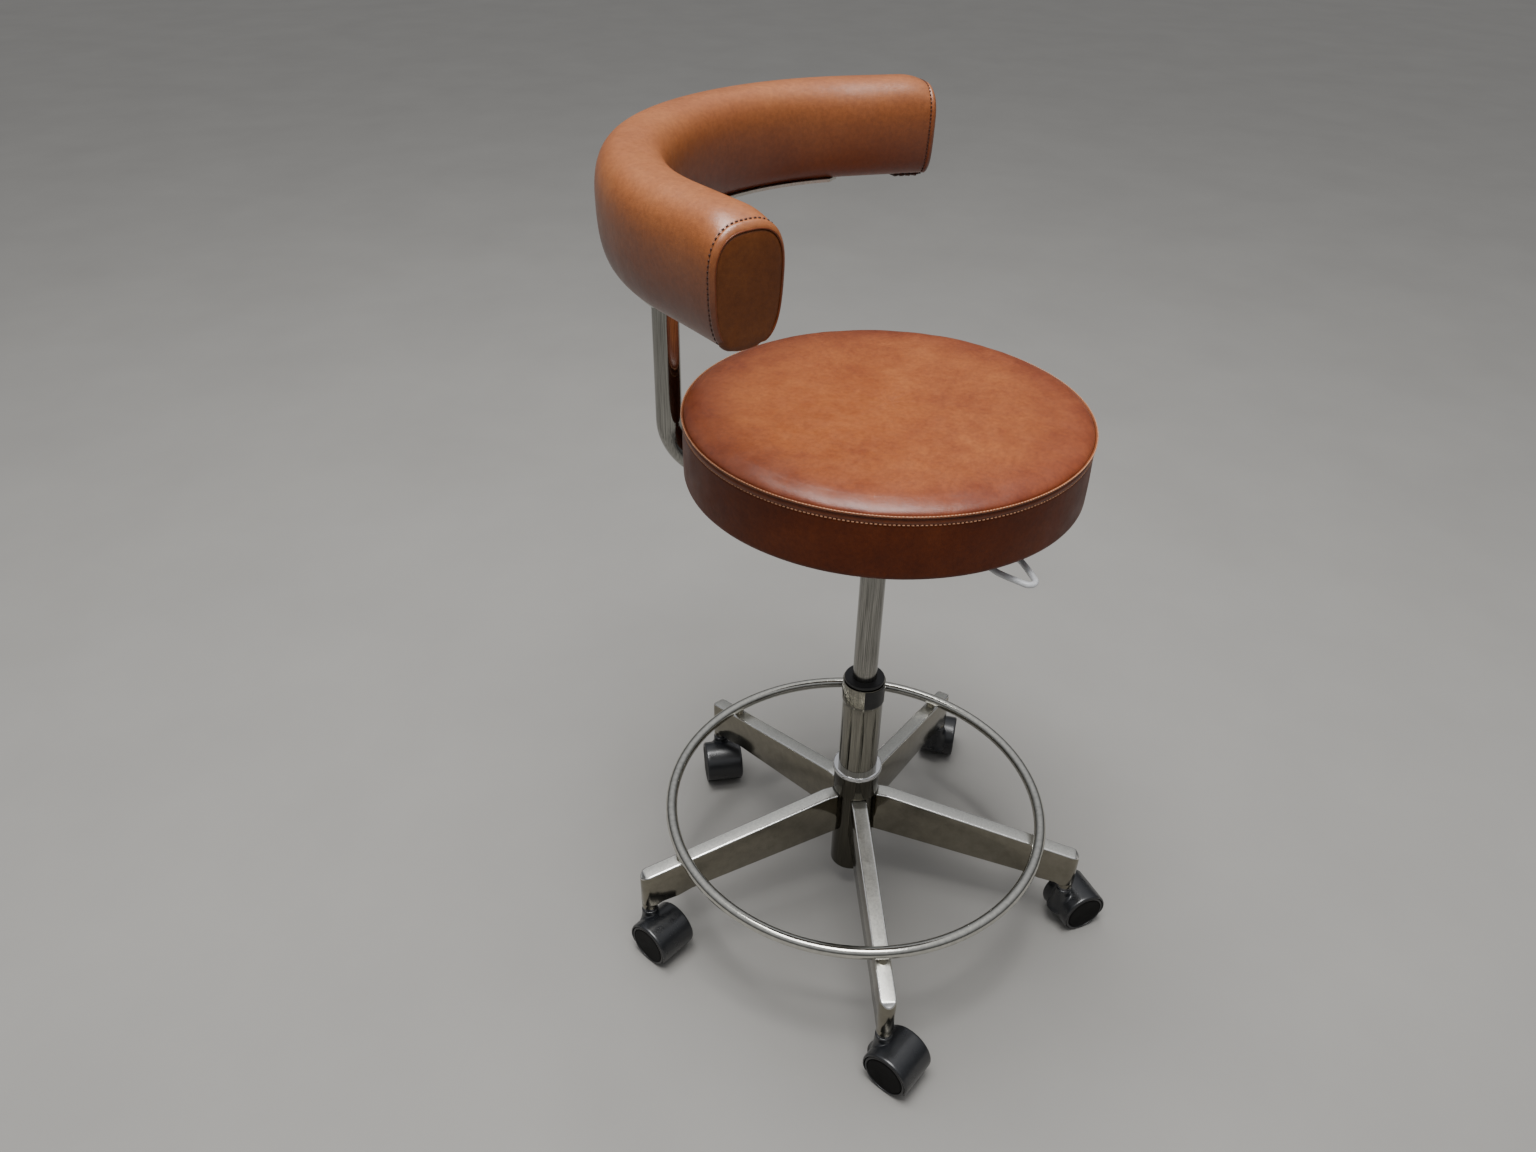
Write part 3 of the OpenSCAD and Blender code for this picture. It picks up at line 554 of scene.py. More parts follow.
def seat_outline(R, top, welt, bottom):
    """The cover's outline from the middle of its top to the hem, as (radius, height), and its seam's row."""
    rows = 26
    profile = [(0.91 * R * k / rows, top - 0.4 * MM - 1.0 * MM * (k / rows) ** 3) for k in range(1, rows + 1)]
    profile += arc(R - 17.0 * MM, top - 10.0 * MM, 16.0 * MM, 8.6 * MM, pi / 2, 0, 16)
    seam = [(1.3, 1.0), (2.6, 1.6), (1.5, 2.3), (0.6, 2.9)]
    profile += [(R - x * MM, welt - z * MM) for x, z in seam]
    seam_row = len(profile) - 3
    # The band's folded edge swells a little, then dips at its line of stitches
    fold = [(0.05, 4.0), (0.38, 5.2), (0.38, 6.4), (0.10, 7.5), (-0.40, 8.2), (-0.55, 8.7), (-0.4, 9.3),
            (-0.05, 10.2), (0.0, 11.5)]
    profile += [(R + x * MM, welt - z * MM) for x, z in fold]
    band_top, band_low = welt - 13.0 * MM, bottom + 6.0 * MM
    steps = 22
    for k in range(steps + 1):
        t = k / steps
        profile.append((R + 0.35 * MM * sin(pi * t), band_top + (band_low - band_top) * t))
    profile += arc(R - 6.0 * MM, band_low, 6.0 * MM, -5.8 * MM, 0, pi / 2, 8)[1:]
    profile += [(R - x * MM, bottom + z * MM) for x, z in ((9, 0.25), (14, 1.2), (17, 2.6))]
    return profile, seam_row


def seat():
    """Round seat cover: top panel, seam, side band and the hem that turns under the board."""
    lo, hi = box("seat_band")
    top = box("seat_top")[1].z
    welt = middle("seat_welt").z
    R = (hi.x - lo.x) / 2
    profile, seam_row = seat_outline(R, top, welt, lo.z)
    segs, coarse_segs = 256, 128
    extra = np.zeros((len(profile), segs, 3))
    rows = profile[::2]
    coarse = [p for r, z in rows for p in circle(r, z, coarse_segs)]
    held = []
    for i in range(len(rows)):
        if i * 2 >= len(profile) - 4 or abs(i * 2 - seam_row) <= 2 or i == 0:
            held += range(i * coarse_segs, (i + 1) * coarse_segs)
    swell = swelling(coarse, len(rows), coarse_segs, held, 1.3 * MM)
    rows_at = [min(1.0, i / 2 / (len(rows) - 1)) for i in range(len(profile))]
    extra = resample(swell, rows_at, [j / segs for j in range(segs)])
    verts = []
    for i, (r, z) in enumerate(profile):
        for j in range(segs):
            a = TAU * j / segs
            # The stuffing is never quite even, so the edge wanders by a few tenths
            ripple = (0.25 * sin(3 * a + 0.7) + 0.18 * sin(7 * a + 2.1) + 0.10 * sin(17 * a + i * 0.3)) * MM
            wide = r + 0.5 * ripple * min(1.0, r / R) ** 4
            lift = 0.6 * ripple if i < seam_row - 2 else 0
            verts.append(AXIS + Vector((wide * cos(a), wide * sin(a), z + lift)) + Vector(extra[i][j]))
    faces = grid_faces(len(profile), segs, close_cols=True)
    verts.append(AXIS + Vector((0, 0, top - 0.5 * MM)))
    faces += [(len(verts) - 1, (j + 1) % segs, j) for j in range(segs)]
    cover = piece("seat_cover", verts, faces, SEAT_LEATHER)
    cover.data.materials.append(BAND_LEATHER)
    cover.data.materials.append(LIT_FOLD_AND_CORD_LEATHER)
    # Faces below the fold take the band's leather; the fold itself takes the lighter leather, painted light
    for poly in cover.data.polygons:
        if poly.center.z < welt - 8.4 * MM:
            poly.material_index = 1
        elif poly.center.z < welt - 1.6 * MM:
            poly.material_index = 2
    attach(cover, "seat")
    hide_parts("seat_top", "seat_foam", "seat_band")

    # Folded lip of the band, which stands up as a thin cord above the seam
    ring = circle(R + 0.1 * MM, welt - 0.8 * MM, 360)
    lip = sweep("seat_lip", ring, 1.25 * MM, WELT_LEATHER, segs=12, closed=True)
    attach(lip, "seat")
    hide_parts("seat_welt")

    def run(name, radius, z, tilt, length, gap, size):
        path = circle(radius, z, 360)
        facing = [Vector((p.x - AXIS.x, p.y - AXIS.y, tilt * radius)).normalized() for p in path]
        thread_run = stitches(name, path, facing, SEAT_THREAD, length * MM, gap * MM, size * MM)
        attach(thread_run, "seat")

    run("seat_stitch_upper", R + 0.85 * MM, welt + 0.15 * MM, 0.9, 2.3, 0.9, 0.55)
    run("seat_stitch_lower", R - 0.45 * MM, welt - 8.7 * MM, 0.3, 2.8, 1.1, 0.62)


# -------------------------------- body support

AROUND = 96  # points around the pad's section
ANGLES = [TAU * k / AROUND for k in range(AROUND)]
STITCH_IN = 6.2 * MM  # the end's stitched line, measured from the end


class Support:
    """The pad: a circular arc with a straight leg at each end, and the leather's surface along it."""

    def __init__(self):
        hi = box("back_pad")[1]
        self.radius = 260 * MM
        self.half = radians(56)
        self.leg = 90 * MM
        self.half_w = 32.5 * MM
        self.half_h = 49 * MM
        self.centre = Vector((AXIS.x, hi.y - self.radius - self.half_w, hi.z - self.half_h))
        self.flat = box("back_bracket")[1].z
        self.length = 2 * (self.radius * self.half + self.leg)

    def at(self, s):
        """Point, outward direction and tangent at s, measured from the pad's left end."""
        reach = self.radius * self.half
        d = s - self.length / 2
        bent = max(-reach, min(reach, d))
        a = pi / 2 - bent / self.radius
        out = Vector((cos(a), sin(a), 0))
        along = Vector((sin(a), -cos(a), 0))
        return self.centre + out * self.radius + along * (d - bent), out, along

    def section(self, t):
        """Outward and upward offset at angle t (radians, 0 is outward) around the section."""

        def power(v):
            return copysign(abs(v) ** (2 / n), v)

        n = 2.75 + 0.65 * max(0.0, -sin(t)) ** 0.5
        rise = power(sin(t))
        low = (1 - rise) / 2
        x = self.half_w * power(cos(t)) * (1 - 0.1 * low ** 1.5) + 1.5 * MM * low
        return x, max(self.half_h * rise, self.flat - self.centre.z)

    def lowered(self, t, from_end):
        """The section near an end, where the top slopes down to its seam."""
        drop, over = 9 * MM, 30 * MM
        x, z = self.section(t)
        weight = max(0.0, (z / self.half_h + 0.3) / 1.3)
        return x, z - drop * max(0.0, 1 - from_end / over) ** 2 * weight ** 1.3

    def seam_offset(self, d):
        """Radial change at distance d from an end: groove, rolled band, stitched dip, then plain."""
        d = d / MM
        shoulder = sqrt(2.6 ** 2 - (2.6 - d) ** 2) - 2.6 if d < 2.6 else 0.0
        roll = 0.8 * exp(-((d - 3.3) / 1.7) ** 2)
        dip = -0.6 * exp(-((d - 6.2) / 0.75) ** 2)
        return (shoulder + roll + dip) * MM

    def surface(self, s, t, grow=0.0):
        point, out, _ = self.at(s)
        from_end = min(s, self.length - s)
        x, z = self.lowered(t, from_end)
        size = 1 + (self.seam_offset(from_end) + grow) / (hypot(x, z) or 1.0)
        return point + out * (x * size) + Vector((0, 0, max(z * size, self.flat - self.centre.z)))


def back_swell(path, stations):
    """How far the filling blows the leather up, at each station and angle."""
    rows, cols = 76, 48
    coarse, held = [], []
    for i, s in enumerate(np.linspace(0, path.length, rows)):
        for k in range(cols):
            p = path.surface(s, TAU * k / cols, -0.8 * MM)
            coarse.append(p)
            if i in (0, rows - 1) or p.z < path.flat + 1.5 * MM:
                held.append(i * cols + k)
    swell = swelling(coarse, rows, cols, held, 1.6 * MM)
    return resample(swell, [s / path.length for s in stations], [k / AROUND for k in range(AROUND)])


def back_cover(path):
    """Leather over the pad, with a rolled and stitched edge at each end."""
    # Rows are finer at both ends, where the rolled seam is
    near = [0, 0.2, 0.5, 0.9, 1.4, 2.0, 2.7, 3.4, 4.1, 4.7, 5.2, 5.6, 5.9, 6.2, 6.5, 6.8, 7.3, 8.1, 9.4, 11.2,
            13.6, 16.5]
    near = [v * MM for v in near]
    plain = np.linspace(20 * MM, path.length - 20 * MM, 118)
    stations = near + list(plain) + [path.length - v for v in reversed(near)]
    extra = back_swell(path, stations)
    verts = []
    for i, s in enumerate(stations):
        _, out, _ = path.at(s)
        d = s / MM
        fade = min(1.0, max(0.0, (min(s, path.length - s) - 6 * MM) / (20 * MM)))
        for k, t in enumerate(ANGLES):
            # Faint drag lines across the inside of the curve
            inner = max(0.0, -cos(t)) ** 2
            drag = 0.16 * MM * sin(d * 0.42 + 2.0 * sin(t * 2)) * sin(d * 0.071 + 0.8)
            wave = 0.30 * MM * sin(d * 0.023 + 1.3) * sin(t + 0.6)
            verts.append(path.surface(s, t) + (out * (wave - inner * drag) + Vector(extra[i][k])) * fade)
    cover = piece("back_cover", verts, grid_faces(len(stations), AROUND, close_cols=True), BACK_LEATHER)
    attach(cover, "body_support")
    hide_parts("back_pad")


def back_end(path, which, s, face_out):
    """End cap: a domed panel sewn inside the rolled edge, gathered at the bottom, and its seam's cord."""
    point, out, _ = path.at(s)

    def inside(t, margin):
        x, z = path.lowered(t, 0.0)
        size = 1 - margin / hypot(x, z)
        return x * size, z * size

    # Share of the way out from the middle, and how far the panel stands out there
    steps = [(1.0, -3.4), (0.992, -2.0), (0.975, -0.9), (0.95, -0.2), (0.92, 0.2), (0.87, 0.55), (0.78, 0.9),
             (0.65, 1.2), (0.48, 1.45), (0.3, 1.6), (0.14, 1.65), (0.0, 1.68)]
    verts = []
    for scale, stand in steps:
        for t in ANGLES:
            x, z = inside(t, 2.3 * MM)
            # The leather is gathered into tucks where the panel turns under
            low = max(0.0, -sin(t)) ** 8
            tuck = low * scale ** 5 * (1.3 * cos(6 * t + 0.6) + 2.6)
            sag = low * scale ** 6 * (3.4 + 1.3 * cos(8 * t))
            # Its outer lower corner hangs a little, where the gathers meet
            corner = max(0.0, cos(t + 0.95)) ** 10 * scale ** 3
            x = x * scale + 2.4 * MM * corner
            z = z * scale - (sag + 1.6 * corner) * MM
            verts.append(point + out * x + Vector((0, 0, z)) + face_out * ((stand + tuck) * MM))
    # The end panel is coloured darker than the pad, as painted shade
    cap = piece(f"back_end_{which}", verts, grid_faces(len(steps), AROUND, close_cols=True), SHADED_CAP_LEATHER)
    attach(cap, "body_support")
    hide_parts(f"back_cap_{which}")

    seam = []
    for t in ANGLES:
        x, z = inside(t, 2.5 * MM)
        seam.append(point + out * x + Vector((0, 0, z)) - face_out * (0.5 * MM))
    cord = sweep(f"back_seam_{which}", seam, 0.8 * MM, LIT_FOLD_AND_CORD_LEATHER, segs=10, closed=True)
    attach(cord, "body_support")


def back_topstitch(path, which, s):
    """Stitches beside the rolled edge, from its lower outside over the top to its lower inside."""
    start, stop, count = radians(-62), radians(242), 120
    point, _, way = path.at(s)
    line, facing = [], []
    for k in range(count + 1):
        t = start + (stop - start) * k / count
        a, b = path.surface(s, t), path.surface(s, t + 0.02)
        normal = (b - a).normalized().cross(way).normalized()
        line.append(a)
        facing.append(-normal if normal.dot(a - point) < 0 else normal)
    run = stitches(f"back_stitch_{which}", line, facing, BACK_THREAD, 2.2 * MM, 1.7 * MM, 0.75 * MM,
                   sink=0.1, closed=False)
    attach(run, "body_support")


def back_flap(path, which, from_left):
    """Leather turned under at an end, gathered and puffed, and coloured near-black as painted shade."""
    lo, hi = box("back_strips")
    length, half, thick = 36 * MM, 12 * MM, hi.z - lo.z
    rows, cols = 40, 24
    verts = []
    for i in range(rows):
        t = i / (rows - 1)
        d = 2.5 * MM + length * t
        point, out, _ = path.at(d if from_left else path.length - d)
        close = min(1.0, 6 * t, 6 * (1 - t)) ** 0.5
        gather = 1 + 0.10 * sin(31 * t + 0.8) + 0.06 * sin(67 * t)
        for k in range(cols):
            a = TAU * k / cols
            x = half * (0.55 + 0.45 * close) * gather * copysign(abs(cos(a)) ** 0.7, cos(a))
            z = hi.z - thick * 0.45 + thick * 0.62 * close * gather * sin(a)
            verts.append(Vector((point.x, point.y, z)) + out * x)
    faces = grid_faces(rows, cols, close_cols=True)
    faces += [tuple(range(cols)), tuple((rows - 1) * cols + k for k in range(cols))]
    strip = piece(f"back_flap_{which}", verts, faces, SHADED_FLAP_LEATHER)
    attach(strip, "body_support")
    if not from_left:
        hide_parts("back_strips")


def back_support():
    path = Support()
    back_cover(path)
    for which, end, inward in (("left", 0.0, 1), ("right", path.length, -1)):
        back_end(path, which, end, path.at(end)[2] * -inward)
        back_topstitch(path, which, end + inward * STITCH_IN)
    back_flap(path, "left", True)
    back_flap(path, "right", False)


# -------------------------------- base

ARM_TURN = 204.1
ARM_ANGLES = [ARM_TURN + 72 * k for k in range(5)]
ARM_REACH = 281 * MM
ARM_NOSE = ARM_REACH - 10.5 * MM  # the caster's stem, measured from the column's axis
ARM_LEVEL, ARM_HUB_Z, ARM_END_Z = 40 * MM, 167 * MM, 119 * MM  # level seat at the hub, then a slope


def arm_top(r):
    slope = (ARM_END_Z - ARM_HUB_Z) / (ARM_REACH - ARM_LEVEL)
    return ARM_HUB_Z + slope * max(0.0, r - ARM_LEVEL)


def arm_bottom(r):
    r = r / MM
    low = [(24, 108.7), (219, 82), (236, 76), (256, 74), (264, 70), (279, 72), (290, 72)]
    return np.interp(r, [x for x, _ in low], [z for _, z in low]) * MM


def arm(i):
    """Box arm with softened edges painted bright as highlight, sides in darker steel as painted reflection, a
    round nose and a level seat at the hub.
    """
    turn = radians(ARM_ANGLES[i - 1])
    turned = Matrix.Rotation(turn, 4, "Z")
    half = 9.5 * MM
    xs = [24, 30, 36, 39, 40, 41, 44, 60, 90, 120, 150, 180, 205, 219, 228, 236, 246, 256, 260, 264, 267]
    xs = [x * MM for x in xs] + [ARM_NOSE]

    def outline(inset):
        side = half - inset
        nose = arc(ARM_NOSE, 0, side, side, -pi / 2, pi / 2, 15)[1:-1]
        return [(x, -side) for x in xs] + nose + [(x, side) for x in reversed(xs)]

    # Rings from the lower edge up over the softened upper edge: (inset, drop from the top or rise)
    rings = [("low", 0.7, 0.0), ("low", 0.2, 0.25), ("low", 0.0, 0.8), ("top", 0.0, 2.1), ("top", 0.12, 1.45),
             ("top", 0.5, 0.85), ("top", 1.05, 0.38), ("top", 1.7, 0.10), ("top", 2.3, 0.0)]
    verts = []
    plain = outline(0.0)
    for kind, inset, dz in rings:
        for (x0, _), (x, y) in zip(plain, outline(inset * MM)):
            if kind == "low":
                z = arm_bottom(x0) + dz * MM
            else:
                z = arm_top(x) - dz * MM - 0.95 * max(0.0, x0 - (ARM_REACH - 4.5 * MM))
            verts.append(turned @ Vector((x, y, z)) + AXIS)
    n = len(plain)
    faces = grid_faces(len(rings), n)
    for layer in (0, (len(rings) - 1) * n):
        for k in range(n // 2):
            if k + 1 < n - 2 - k:
                faces.append((layer + k, layer + k + 1, layer + n - 2 - k, layer + n - 1 - k))
            elif k + 1 == n - 2 - k:
                faces.append((layer + k, layer + k + 1, layer + n - 1 - k))
    faces += [(r * n, r * n + n - 1, (r + 1) * n + n - 1, (r + 1) * n) for r in range(len(rings) - 1)]
    obj = piece(f"arm_shell_{i}", verts, faces, DARK_REFLECTION_STEEL)
    obj.data.materials.append(HIGHLIGHT_BEVEL_STEEL)
    obj.data.materials.append(SATIN_STEEL)
    # The top takes the satin steel, the softened upper edges the lighter bevel steel as painted highlight,
    # and the sides keep the darker steel as painted reflection
    for poly in obj.data.polygons:
        near = poly.center - AXIS
        r = near.x * cos(turn) + near.y * sin(turn)
        aside = abs(near.y * cos(turn) - near.x * sin(turn))
        edge = 12 * MM if r > ARM_REACH - 6 * MM else 3 * MM
        if poly.normal.z > 0.9 and len(poly.vertices) <= 4 and aside < 1 * MM:
            poly.material_index = 2
        elif poly.normal.z > 0.25 and arm_top(r) - near.z < edge:
            poly.material_index = 1
    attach(obj, "base")
    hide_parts(f"arm_{i}")
    # Sleeve that the caster's stem plugs into
    place = Matrix.Translation(AXIS + turned @ Vector((ARM_NOSE, 0, 0)))
    sleeve = [(5.6, 98), (5.6, 65), (6.4, 64), (8.6, 64), (9.3, 64.7), (9.35, 70), (9.35, 80), (5.6, 98)]
    sleeve = [(r * MM, z * MM) for r, z in rounded(sleeve, 0.4)]
    tube = lathe(f"arm_sleeve_{i}", sleeve, place, DARK_REFLECTION_STEEL, segs=48)
    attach(tube, "base")


def base():
    for i in range(1, 6):
        arm(i)
    looks = {
        DARK_REFLECTION_HUB_STEEL: ["hub_tube"],
        COLUMN_STEEL: ["column_tube"],
        BLACK_PLASTIC: ["guide_bush", "valve_pin"],
        LABEL: ["column_label"],
        RING_STEEL: ["foot_ring"],
        DARK_REFLECTION_STEEL: ["ring_saddles"],
        GAS_STEEL: ["gas_cylinder"],
        BLACK_STEEL: ["taper_socket", "mount_plate"],
        PLYWOOD: ["seat_board", "back_core"],
        DUST_CLOTH: ["dust_cover"],
        STEM_CHROME: ["stem_tube"],
        SATIN_STEEL: ["back_bracket"],
        CHROME: ["collar_ring", "piston_rod", "lever_pin", "swing_collar"],
        DARK_STEEL: ["ring_screws", "caster_stems", "thrust_bearing", "rod_clip", "swing_clip",
                     "plate_screws", "bracket_screws", *[f"caster_axle_{i}" for i in range(1, 6)]],
    }
    for mat, names in looks.items():
        for name in names:
            paint(name, mat)
    # The collar's skirt takes the hub's darkened steel, painted dark reflection as on the hub below it
    collar = nodes["collar_ring"]
    collar.data.materials.append(DARK_REFLECTION_HUB_STEEL)
    bead = box("collar_ring")[1].z - 7 * MM
    for poly in collar.data.polygons:
        heights = [(collar.matrix_world @ collar.data.vertices[v].co).z for v in poly.vertices]
        if sum(heights) < bead * len(heights):
            poly.material_index = 1


def lever_outline():
    """The bent wire's middle line, from the barrel round its narrow nose and back, with eased corners."""
    nose, far = 7.0, 154.0
    half = arc(far, 0, nose, nose, 0, radians(68), 8)
    half += [(far - 10, 11.6), (far - 18, 14.4), (far - 25, 16.4), (far - 50, 16.0), (far - 80, 13.4),
             (far - 110, 9.8), (3.0, 5.3)]
    outline = [(x, -y) for x, y in reversed(half[1:])] + half
    for _ in range(3):
        eased = [outline[0]]
        for (ax, ay), (bx, by) in zip(outline, outline[1:]):
            eased += [(ax * (1 - t) + bx * t, ay * (1 - t) + by * t) for t in (0.25, 0.75)]
        outline = eased + [outline[-1]]
    return outline


def lever():
    """Bent-wire handle with a narrow round nose, its barrel, and the tongue over the valve."""
    pin = middle("lever_pin")
    away = Vector((pin.x - AXIS.x, pin.y - AXIS.y, 0))
    out = away.normalized()
    side = Vector((-out.y, out.x, 0))
    slope = radians(5.2)
    along = out * cos(slope) - Vector((0, 0, sin(slope)))
    path = [pin + along * (x * MM) + side * (y * MM) for x, y in lever_outline()]
    handle = sweep("lever_handle", path, 3.0 * MM, LEVER_STEEL, segs=24)
    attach(handle, "lever")
    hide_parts("release_lever")
    place = Matrix.Translation(pin) @ side.to_track_quat("Z", "Y").to_matrix().to_4x4()
    sleeve = [(3.2, -9), (4.9, -9), (5.5, -8.4), (5.5, 8.4), (4.9, 9), (3.2, 9), (3.2, -9)]
    barrel = lathe("lever_barrel", [(r * MM, h * MM) for r, h in sleeve], place, LEVER_STEEL, segs=64)
    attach(barrel, "lever")
    # Tongue: a flat bar with eased edges from the barrel to past the column's axis
    top, thick, half_w, ease = box("release_lever")[1].z, 3.0, 6.0, 0.5
    rim = [(-half_w, ease), (-half_w, thick - ease), (-half_w + ease, thick), (half_w - ease, thick),
           (half_w, thick - ease), (half_w, ease), (half_w - ease, 0), (-half_w + ease, 0)]
    verts = []
    for x, inset in ((-4.0, ease), (-3.5, 0.0), (away.length / MM - 1.5, 0.0)):
        for y, z in rim:
            y, z = y * (1 - inset / half_w), thick / 2 + (z - thick / 2) * (1 - inset / thick)
            verts.append(AXIS + out * (x * MM) + side * (y * MM) + Vector((0, 0, top + (z - thick) * MM)))
    n = len(rim)
    faces = grid_faces(3, n, close_cols=True) + [tuple(range(n)), tuple(2 * n + k for k in range(n))]
    tongue = piece("lever_tongue", verts, faces, LEVER_STEEL, smooth=False)
    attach(tongue, "lever")


# -------------------------------- casters

TRAIL = 20.0  # millimetres from the stem's axis back to the axle
CASTER_HALF = 25.0
HOOD_OVER = 3.0  # how far the hood stands out from the wheels' tread


class Caster:
    """Places on a caster: x runs back along its trail and y across it, both in millimetres."""

    def __init__(self, i):
        self.stem = around(AXIS, ARM_NOSE, ARM_ANGLES[i - 1], 0)
        self.axle = middle(f"caster_axle_{i}")
        self.trail = Vector((self.axle.x - self.stem.x, self.axle.y - self.stem.y, 0)).normalized()
        self.across = Vector((-self.trail.y, self.trail.x, 0))
        lo, hi = box(f"wheel_left_{i}")
        self.wheel_r = (hi.z - lo.z) / 2 / MM

    def from_axle(self, r, a, y):
        """The point at radius r and angle a around the axle."""
        back, up = r * MM * cos(a), r * MM * sin(a)
        return self.axle + self.trail * back + self.across * (y * MM) + Vector((0, 0, up))


def hood(caster, i):
    """A section with soft shoulders, swept around the axle over both wheels, and the web between them."""
    wheel_r = caster.wheel_r
    rim, top = wheel_r + 0.6, wheel_r + HOOD_OVER
    shoulder = arc(CASTER_HALF - 3.4, top - 1.8, 3.4, 1.8, pi / 2, 0, 8)
    outer = [(-CASTER_HALF + 0.1, rim), (-CASTER_HALF, rim + 0.6)]
    outer += [(-y, r) for y, r in reversed(shoulder)]
    outer += [(y, top + 0.05) for y in (-16, -8, 0, 8, 16)] + shoulder
    outer += [(CASTER_HALF, rim + 0.6), (CASTER_HALF - 0.1, rim), (CASTER_HALF - 2, rim), (0, rim),
              (-CASTER_HALF + 2, rim)]
    first, last = radians(-20), radians(208)
    steps = 60
    turns = [first + (last - first) * s / steps for s in range(steps + 1)]
    verts = []
    for s, a in enumerate(turns):
        # Both ends of the hood are drawn in, so its lower corners are soft
        end = min(1.0, 7 * s / steps, 7 * (steps - s) / steps)
        low, soft = 0.55 + 0.45 * sqrt(end), 1 - (1 - end) ** 2 * 0.05
        verts += [caster.from_axle(rim + (r - rim) * low, a, y * soft) for y, r in outer]
    n = len(outer)
    faces = grid_faces(steps + 1, n, close_cols=True)
    faces += [tuple(range(n)), tuple(steps * n + k for k in range(n))]
    left = len(verts)
    right = left + steps + 1
    for y in (-6.4, 6.4):
        verts += [caster.from_axle(wheel_r + 0.9, a, y) for a in turns]
    faces += [tuple(range(left, right)), tuple(range(right, right + steps + 1))]
    faces += [(left + s, left + s + 1, right + s + 1, right + s) for s in range(steps)]
    faces.append((left, left + steps, right + steps, right))
    obj = piece(f"hood_{i}", verts, faces, HOOD_PLASTIC)
    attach(obj, f"caster_{i}")
    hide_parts(f"caster_hood_{i}")


def neck(caster, i):
    """Neck under the arm's nose, flared where it runs into the hood."""
    rings = [(5.6, 59.9), (8.4, 59.9), (9.5, 59.3), (9.8, 57.8), (9.8, 54.5), (10.1, 52.5), (11.0, 50.4),
             (12.6, 48.6), (14.8, 46.8), (16.0, 44.5), (14, 41), (5.6, 42)]
    segs = 64
    verts = []
    for r, z in rings:
        for k in range(segs):
            x, y = r * cos(TAU * k / segs), r * sin(TAU * k / segs)
            # Lower rings follow the hood's round back, so the flare runs into it
            over = sqrt(max(0.0, (caster.wheel_r + HOOD_OVER) ** 2 - (x - TRAIL) ** 2))
            blend = min(1.0, max(0.0, (55 - z) / 8))
            flare = (z - 46.5) * 0.55 - 0.6
            height = z * (1 - blend) + (caster.wheel_r + over + flare) * blend
            verts.append(caster.stem + caster.trail * (x * MM) + caster.across * (y * MM) +
                         Vector((0, 0, height * MM)))
    throat = piece(f"neck_{i}", verts, grid_faces(len(rings), segs, close_cols=True), HOOD_PLASTIC)
    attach(throat, f"caster_{i}")


def wheels(caster, i):
    """Both wheels: tread, raised rim lip, groove and a slightly dished disc."""
    R = caster.wheel_r
    out = CASTER_HALF - 0.2
    inner = [(3.1, 7.2), (6.5, 7.2), (7.5, 8.0), (9.0, 9.5), (R - 4.5, 9.5), (R - 3.5, 7.6), (R - 1.8, 7.1),
             (R - 0.5, 7.5), (R, 8.8)]
    rim = [(0, 2.6), (0.3, 1.3), (0.9, 0.5), (1.5, 0.1), (2.5, 0), (3.0, 0.3), (3.25, 1.2), (3.8, 1.5),
           (4.3, 1.0), (4.9, 0.5), (6.5, 0.35)]
    wheel = inner + [(R - x, out - y) for x, y in rim] + [(10.0, out - 0.6), (0.0, out - 0.7)]
    outline = [(max(r, 0.01) * MM, h * MM) for r, h in rounded(wheel, 0.35, 3)]
    for side, word in ((1, "left"), (-1, "right")):
        axis = caster.across * side
        place = Matrix.Translation(caster.axle) @ axis.to_track_quat("Z", "Y").to_matrix().to_4x4()
        obj = lathe(f"wheel_disc_{word}_{i}", outline, place, WHEEL_PLASTIC)
        obj.data.materials.append(RIM_PLASTIC)
        for poly in obj.data.polygons:
            near = poly.center - caster.axle
            along = near.dot(axis)
            r = (near - axis * along).length / MM
            if along > (out - 1.7) * MM and R - 3.3 < r < R - 0.6:
                poly.material_index = 1
        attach(obj, f"wheel_{word}_{i}")
        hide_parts(f"wheel_{word}_{i}")


# -------------------------------- stage

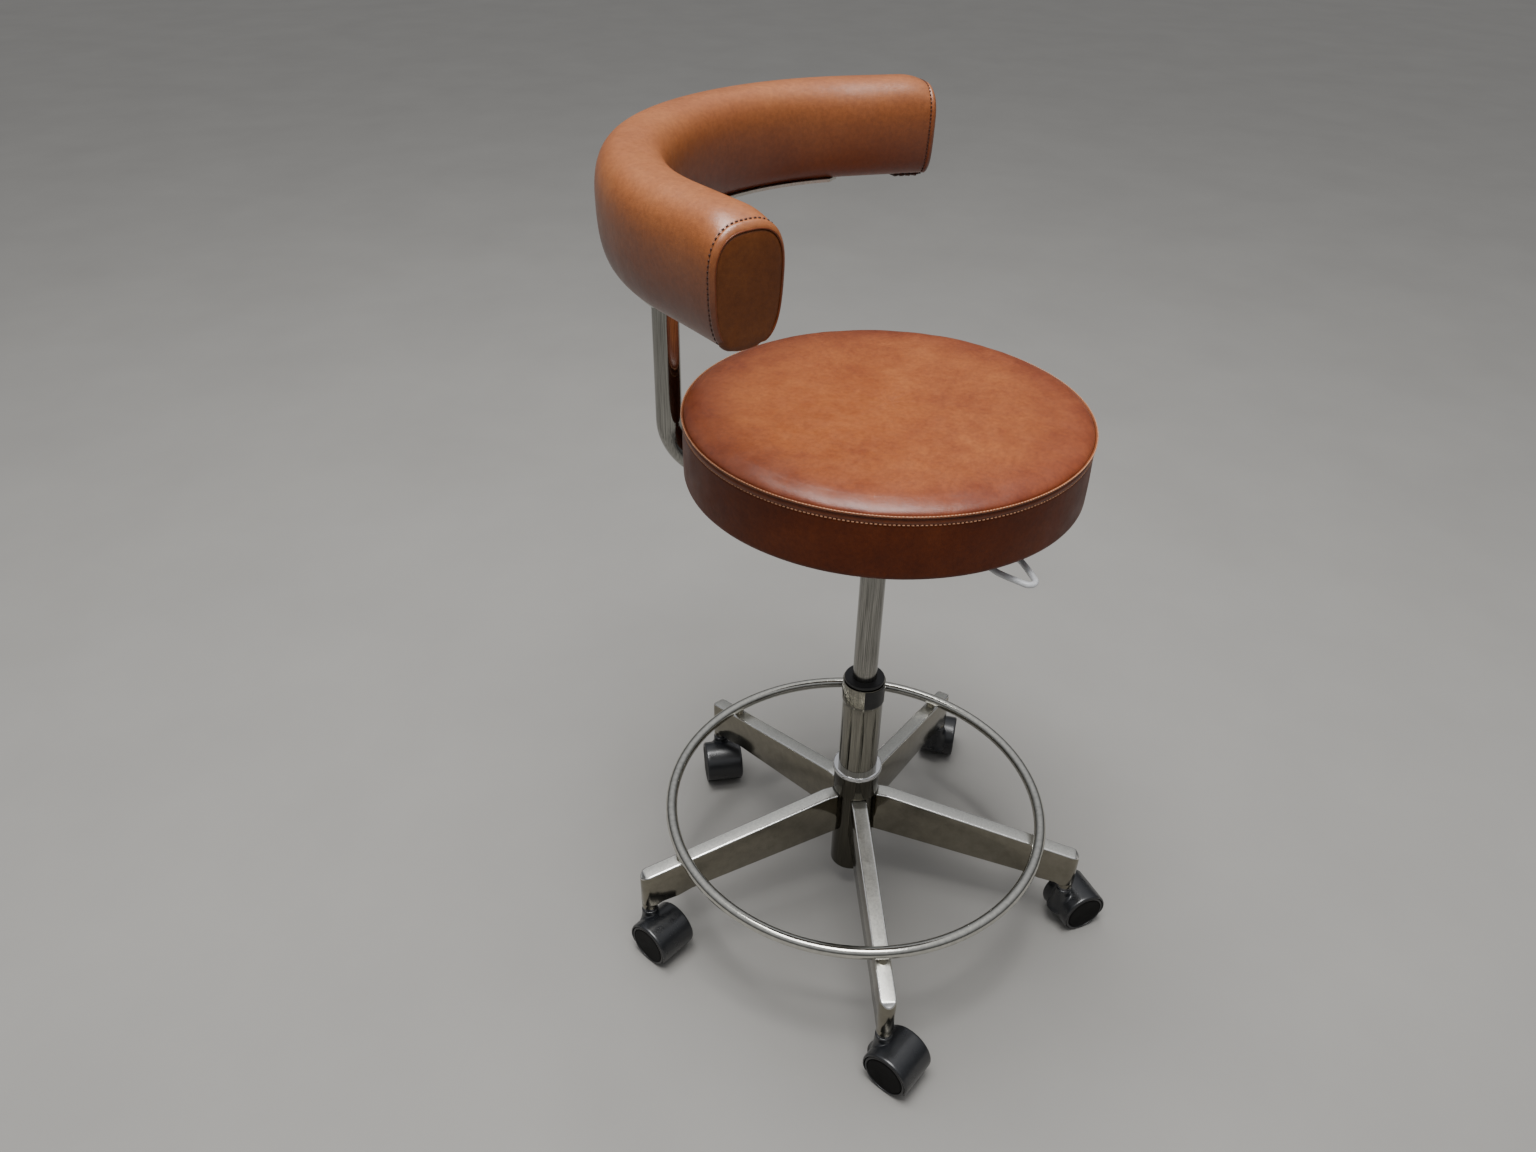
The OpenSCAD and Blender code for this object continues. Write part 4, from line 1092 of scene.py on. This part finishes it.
def stage():
    mat, tree = material("floor")
    clouds = noise(tree, position(tree), 3.0, 6.0, 0.6)
    tone = ramp(tree, clouds, [(0.30, (0.300, 0.290, 0.272)), (0.70, (0.325, 0.315, 0.295))])
    finished(mat, tone, 0.75)
    size = 30.0
    mesh = bpy.data.meshes.new("floor")
    corners = [(-size, -size, 0), (size, -size, 0), (size, size, 0), (-size, size, 0)]
    mesh.from_pydata(corners, [], [(0, 1, 2, 3)])
    mesh.materials.append(mat)
    floor = show("floor", mesh)

    world = bpy.data.worlds.new("studio")
    bpy.context.scene.world = world
    world.use_nodes = True
    tree = world.node_tree
    split = tree.nodes.new("ShaderNodeSeparateXYZ")
    tree.links.new(tree.nodes.new("ShaderNodeTexCoord").outputs["Generated"], split.inputs[0])
    height = add(tree, "ShaderNodeMath", operation="MULTIPLY_ADD")
    feed(tree, height.inputs[0], split.outputs["Z"])
    feed(tree, height.inputs[1], 0.5)
    feed(tree, height.inputs[2], 0.5)
    sky = ramp(tree, height.outputs[0], [(0.0, grey(0.06)), (0.50, grey(0.07)), (0.66, (0.20, 0.205, 0.21)),
                                         (0.85, (0.62, 0.63, 0.66)), (1.0, grey(1))])
    background = tree.nodes["Background"]
    feed(tree, background.inputs["Color"], sky)
    feed(tree, background.inputs["Strength"], 0.85)

    def area(name, location, target, size_x, size_y, power):
        data = bpy.data.lights.new(name, "AREA")
        data.shape = "RECTANGLE"
        data.size = size_x
        data.size_y = size_y
        data.energy = power
        obj = show(name, data)
        obj.location = location
        facing = (Vector(target) - Vector(location)).normalized()
        level = facing.cross(Vector((0, 0, 1))).normalized()
        turn = Matrix((level, level.cross(facing), -facing)).transposed()
        obj.rotation_euler = turn.to_euler()

    area("sky_panel", (-0.25, 0.20, 3.2), (0, 0, 0.4), 1.9, 1.3, 96)
    area("front_strip", (-1.05, -0.10, 3.0), (0, 0.1, 0.7), 2.2, 0.30, 20)


def camera():
    data = bpy.data.cameras.new("camera")
    data.sensor_width = 36.0
    data.lens = 26.27
    obj = show("camera", data)
    heading, pitch, roll = radians(19.17), radians(34.32), 0.020
    flat = Vector((cos(heading), sin(heading), 0))
    right = Vector((sin(heading), -cos(heading), 0))
    up = Vector((0, 0, 1))
    forward = flat * cos(pitch) - up * sin(pitch)
    above = flat * sin(pitch) + up * cos(pitch)
    x_axis = right * cos(roll) + above * sin(roll)
    y_axis = above * cos(roll) - right * sin(roll)
    turn = Matrix((x_axis, y_axis, -forward)).transposed().to_4x4()
    obj.matrix_world = Matrix.Translation(AXIS + Vector((-0.9844, -0.2218, 1.1624))) @ turn
    bpy.context.scene.camera = obj


camera()
stage()
base()
lever()
for number in range(1, 6):
    placed = Caster(number)
    hood(placed, number)
    neck(placed, number)
    wheels(placed, number)
seat()
back_support()
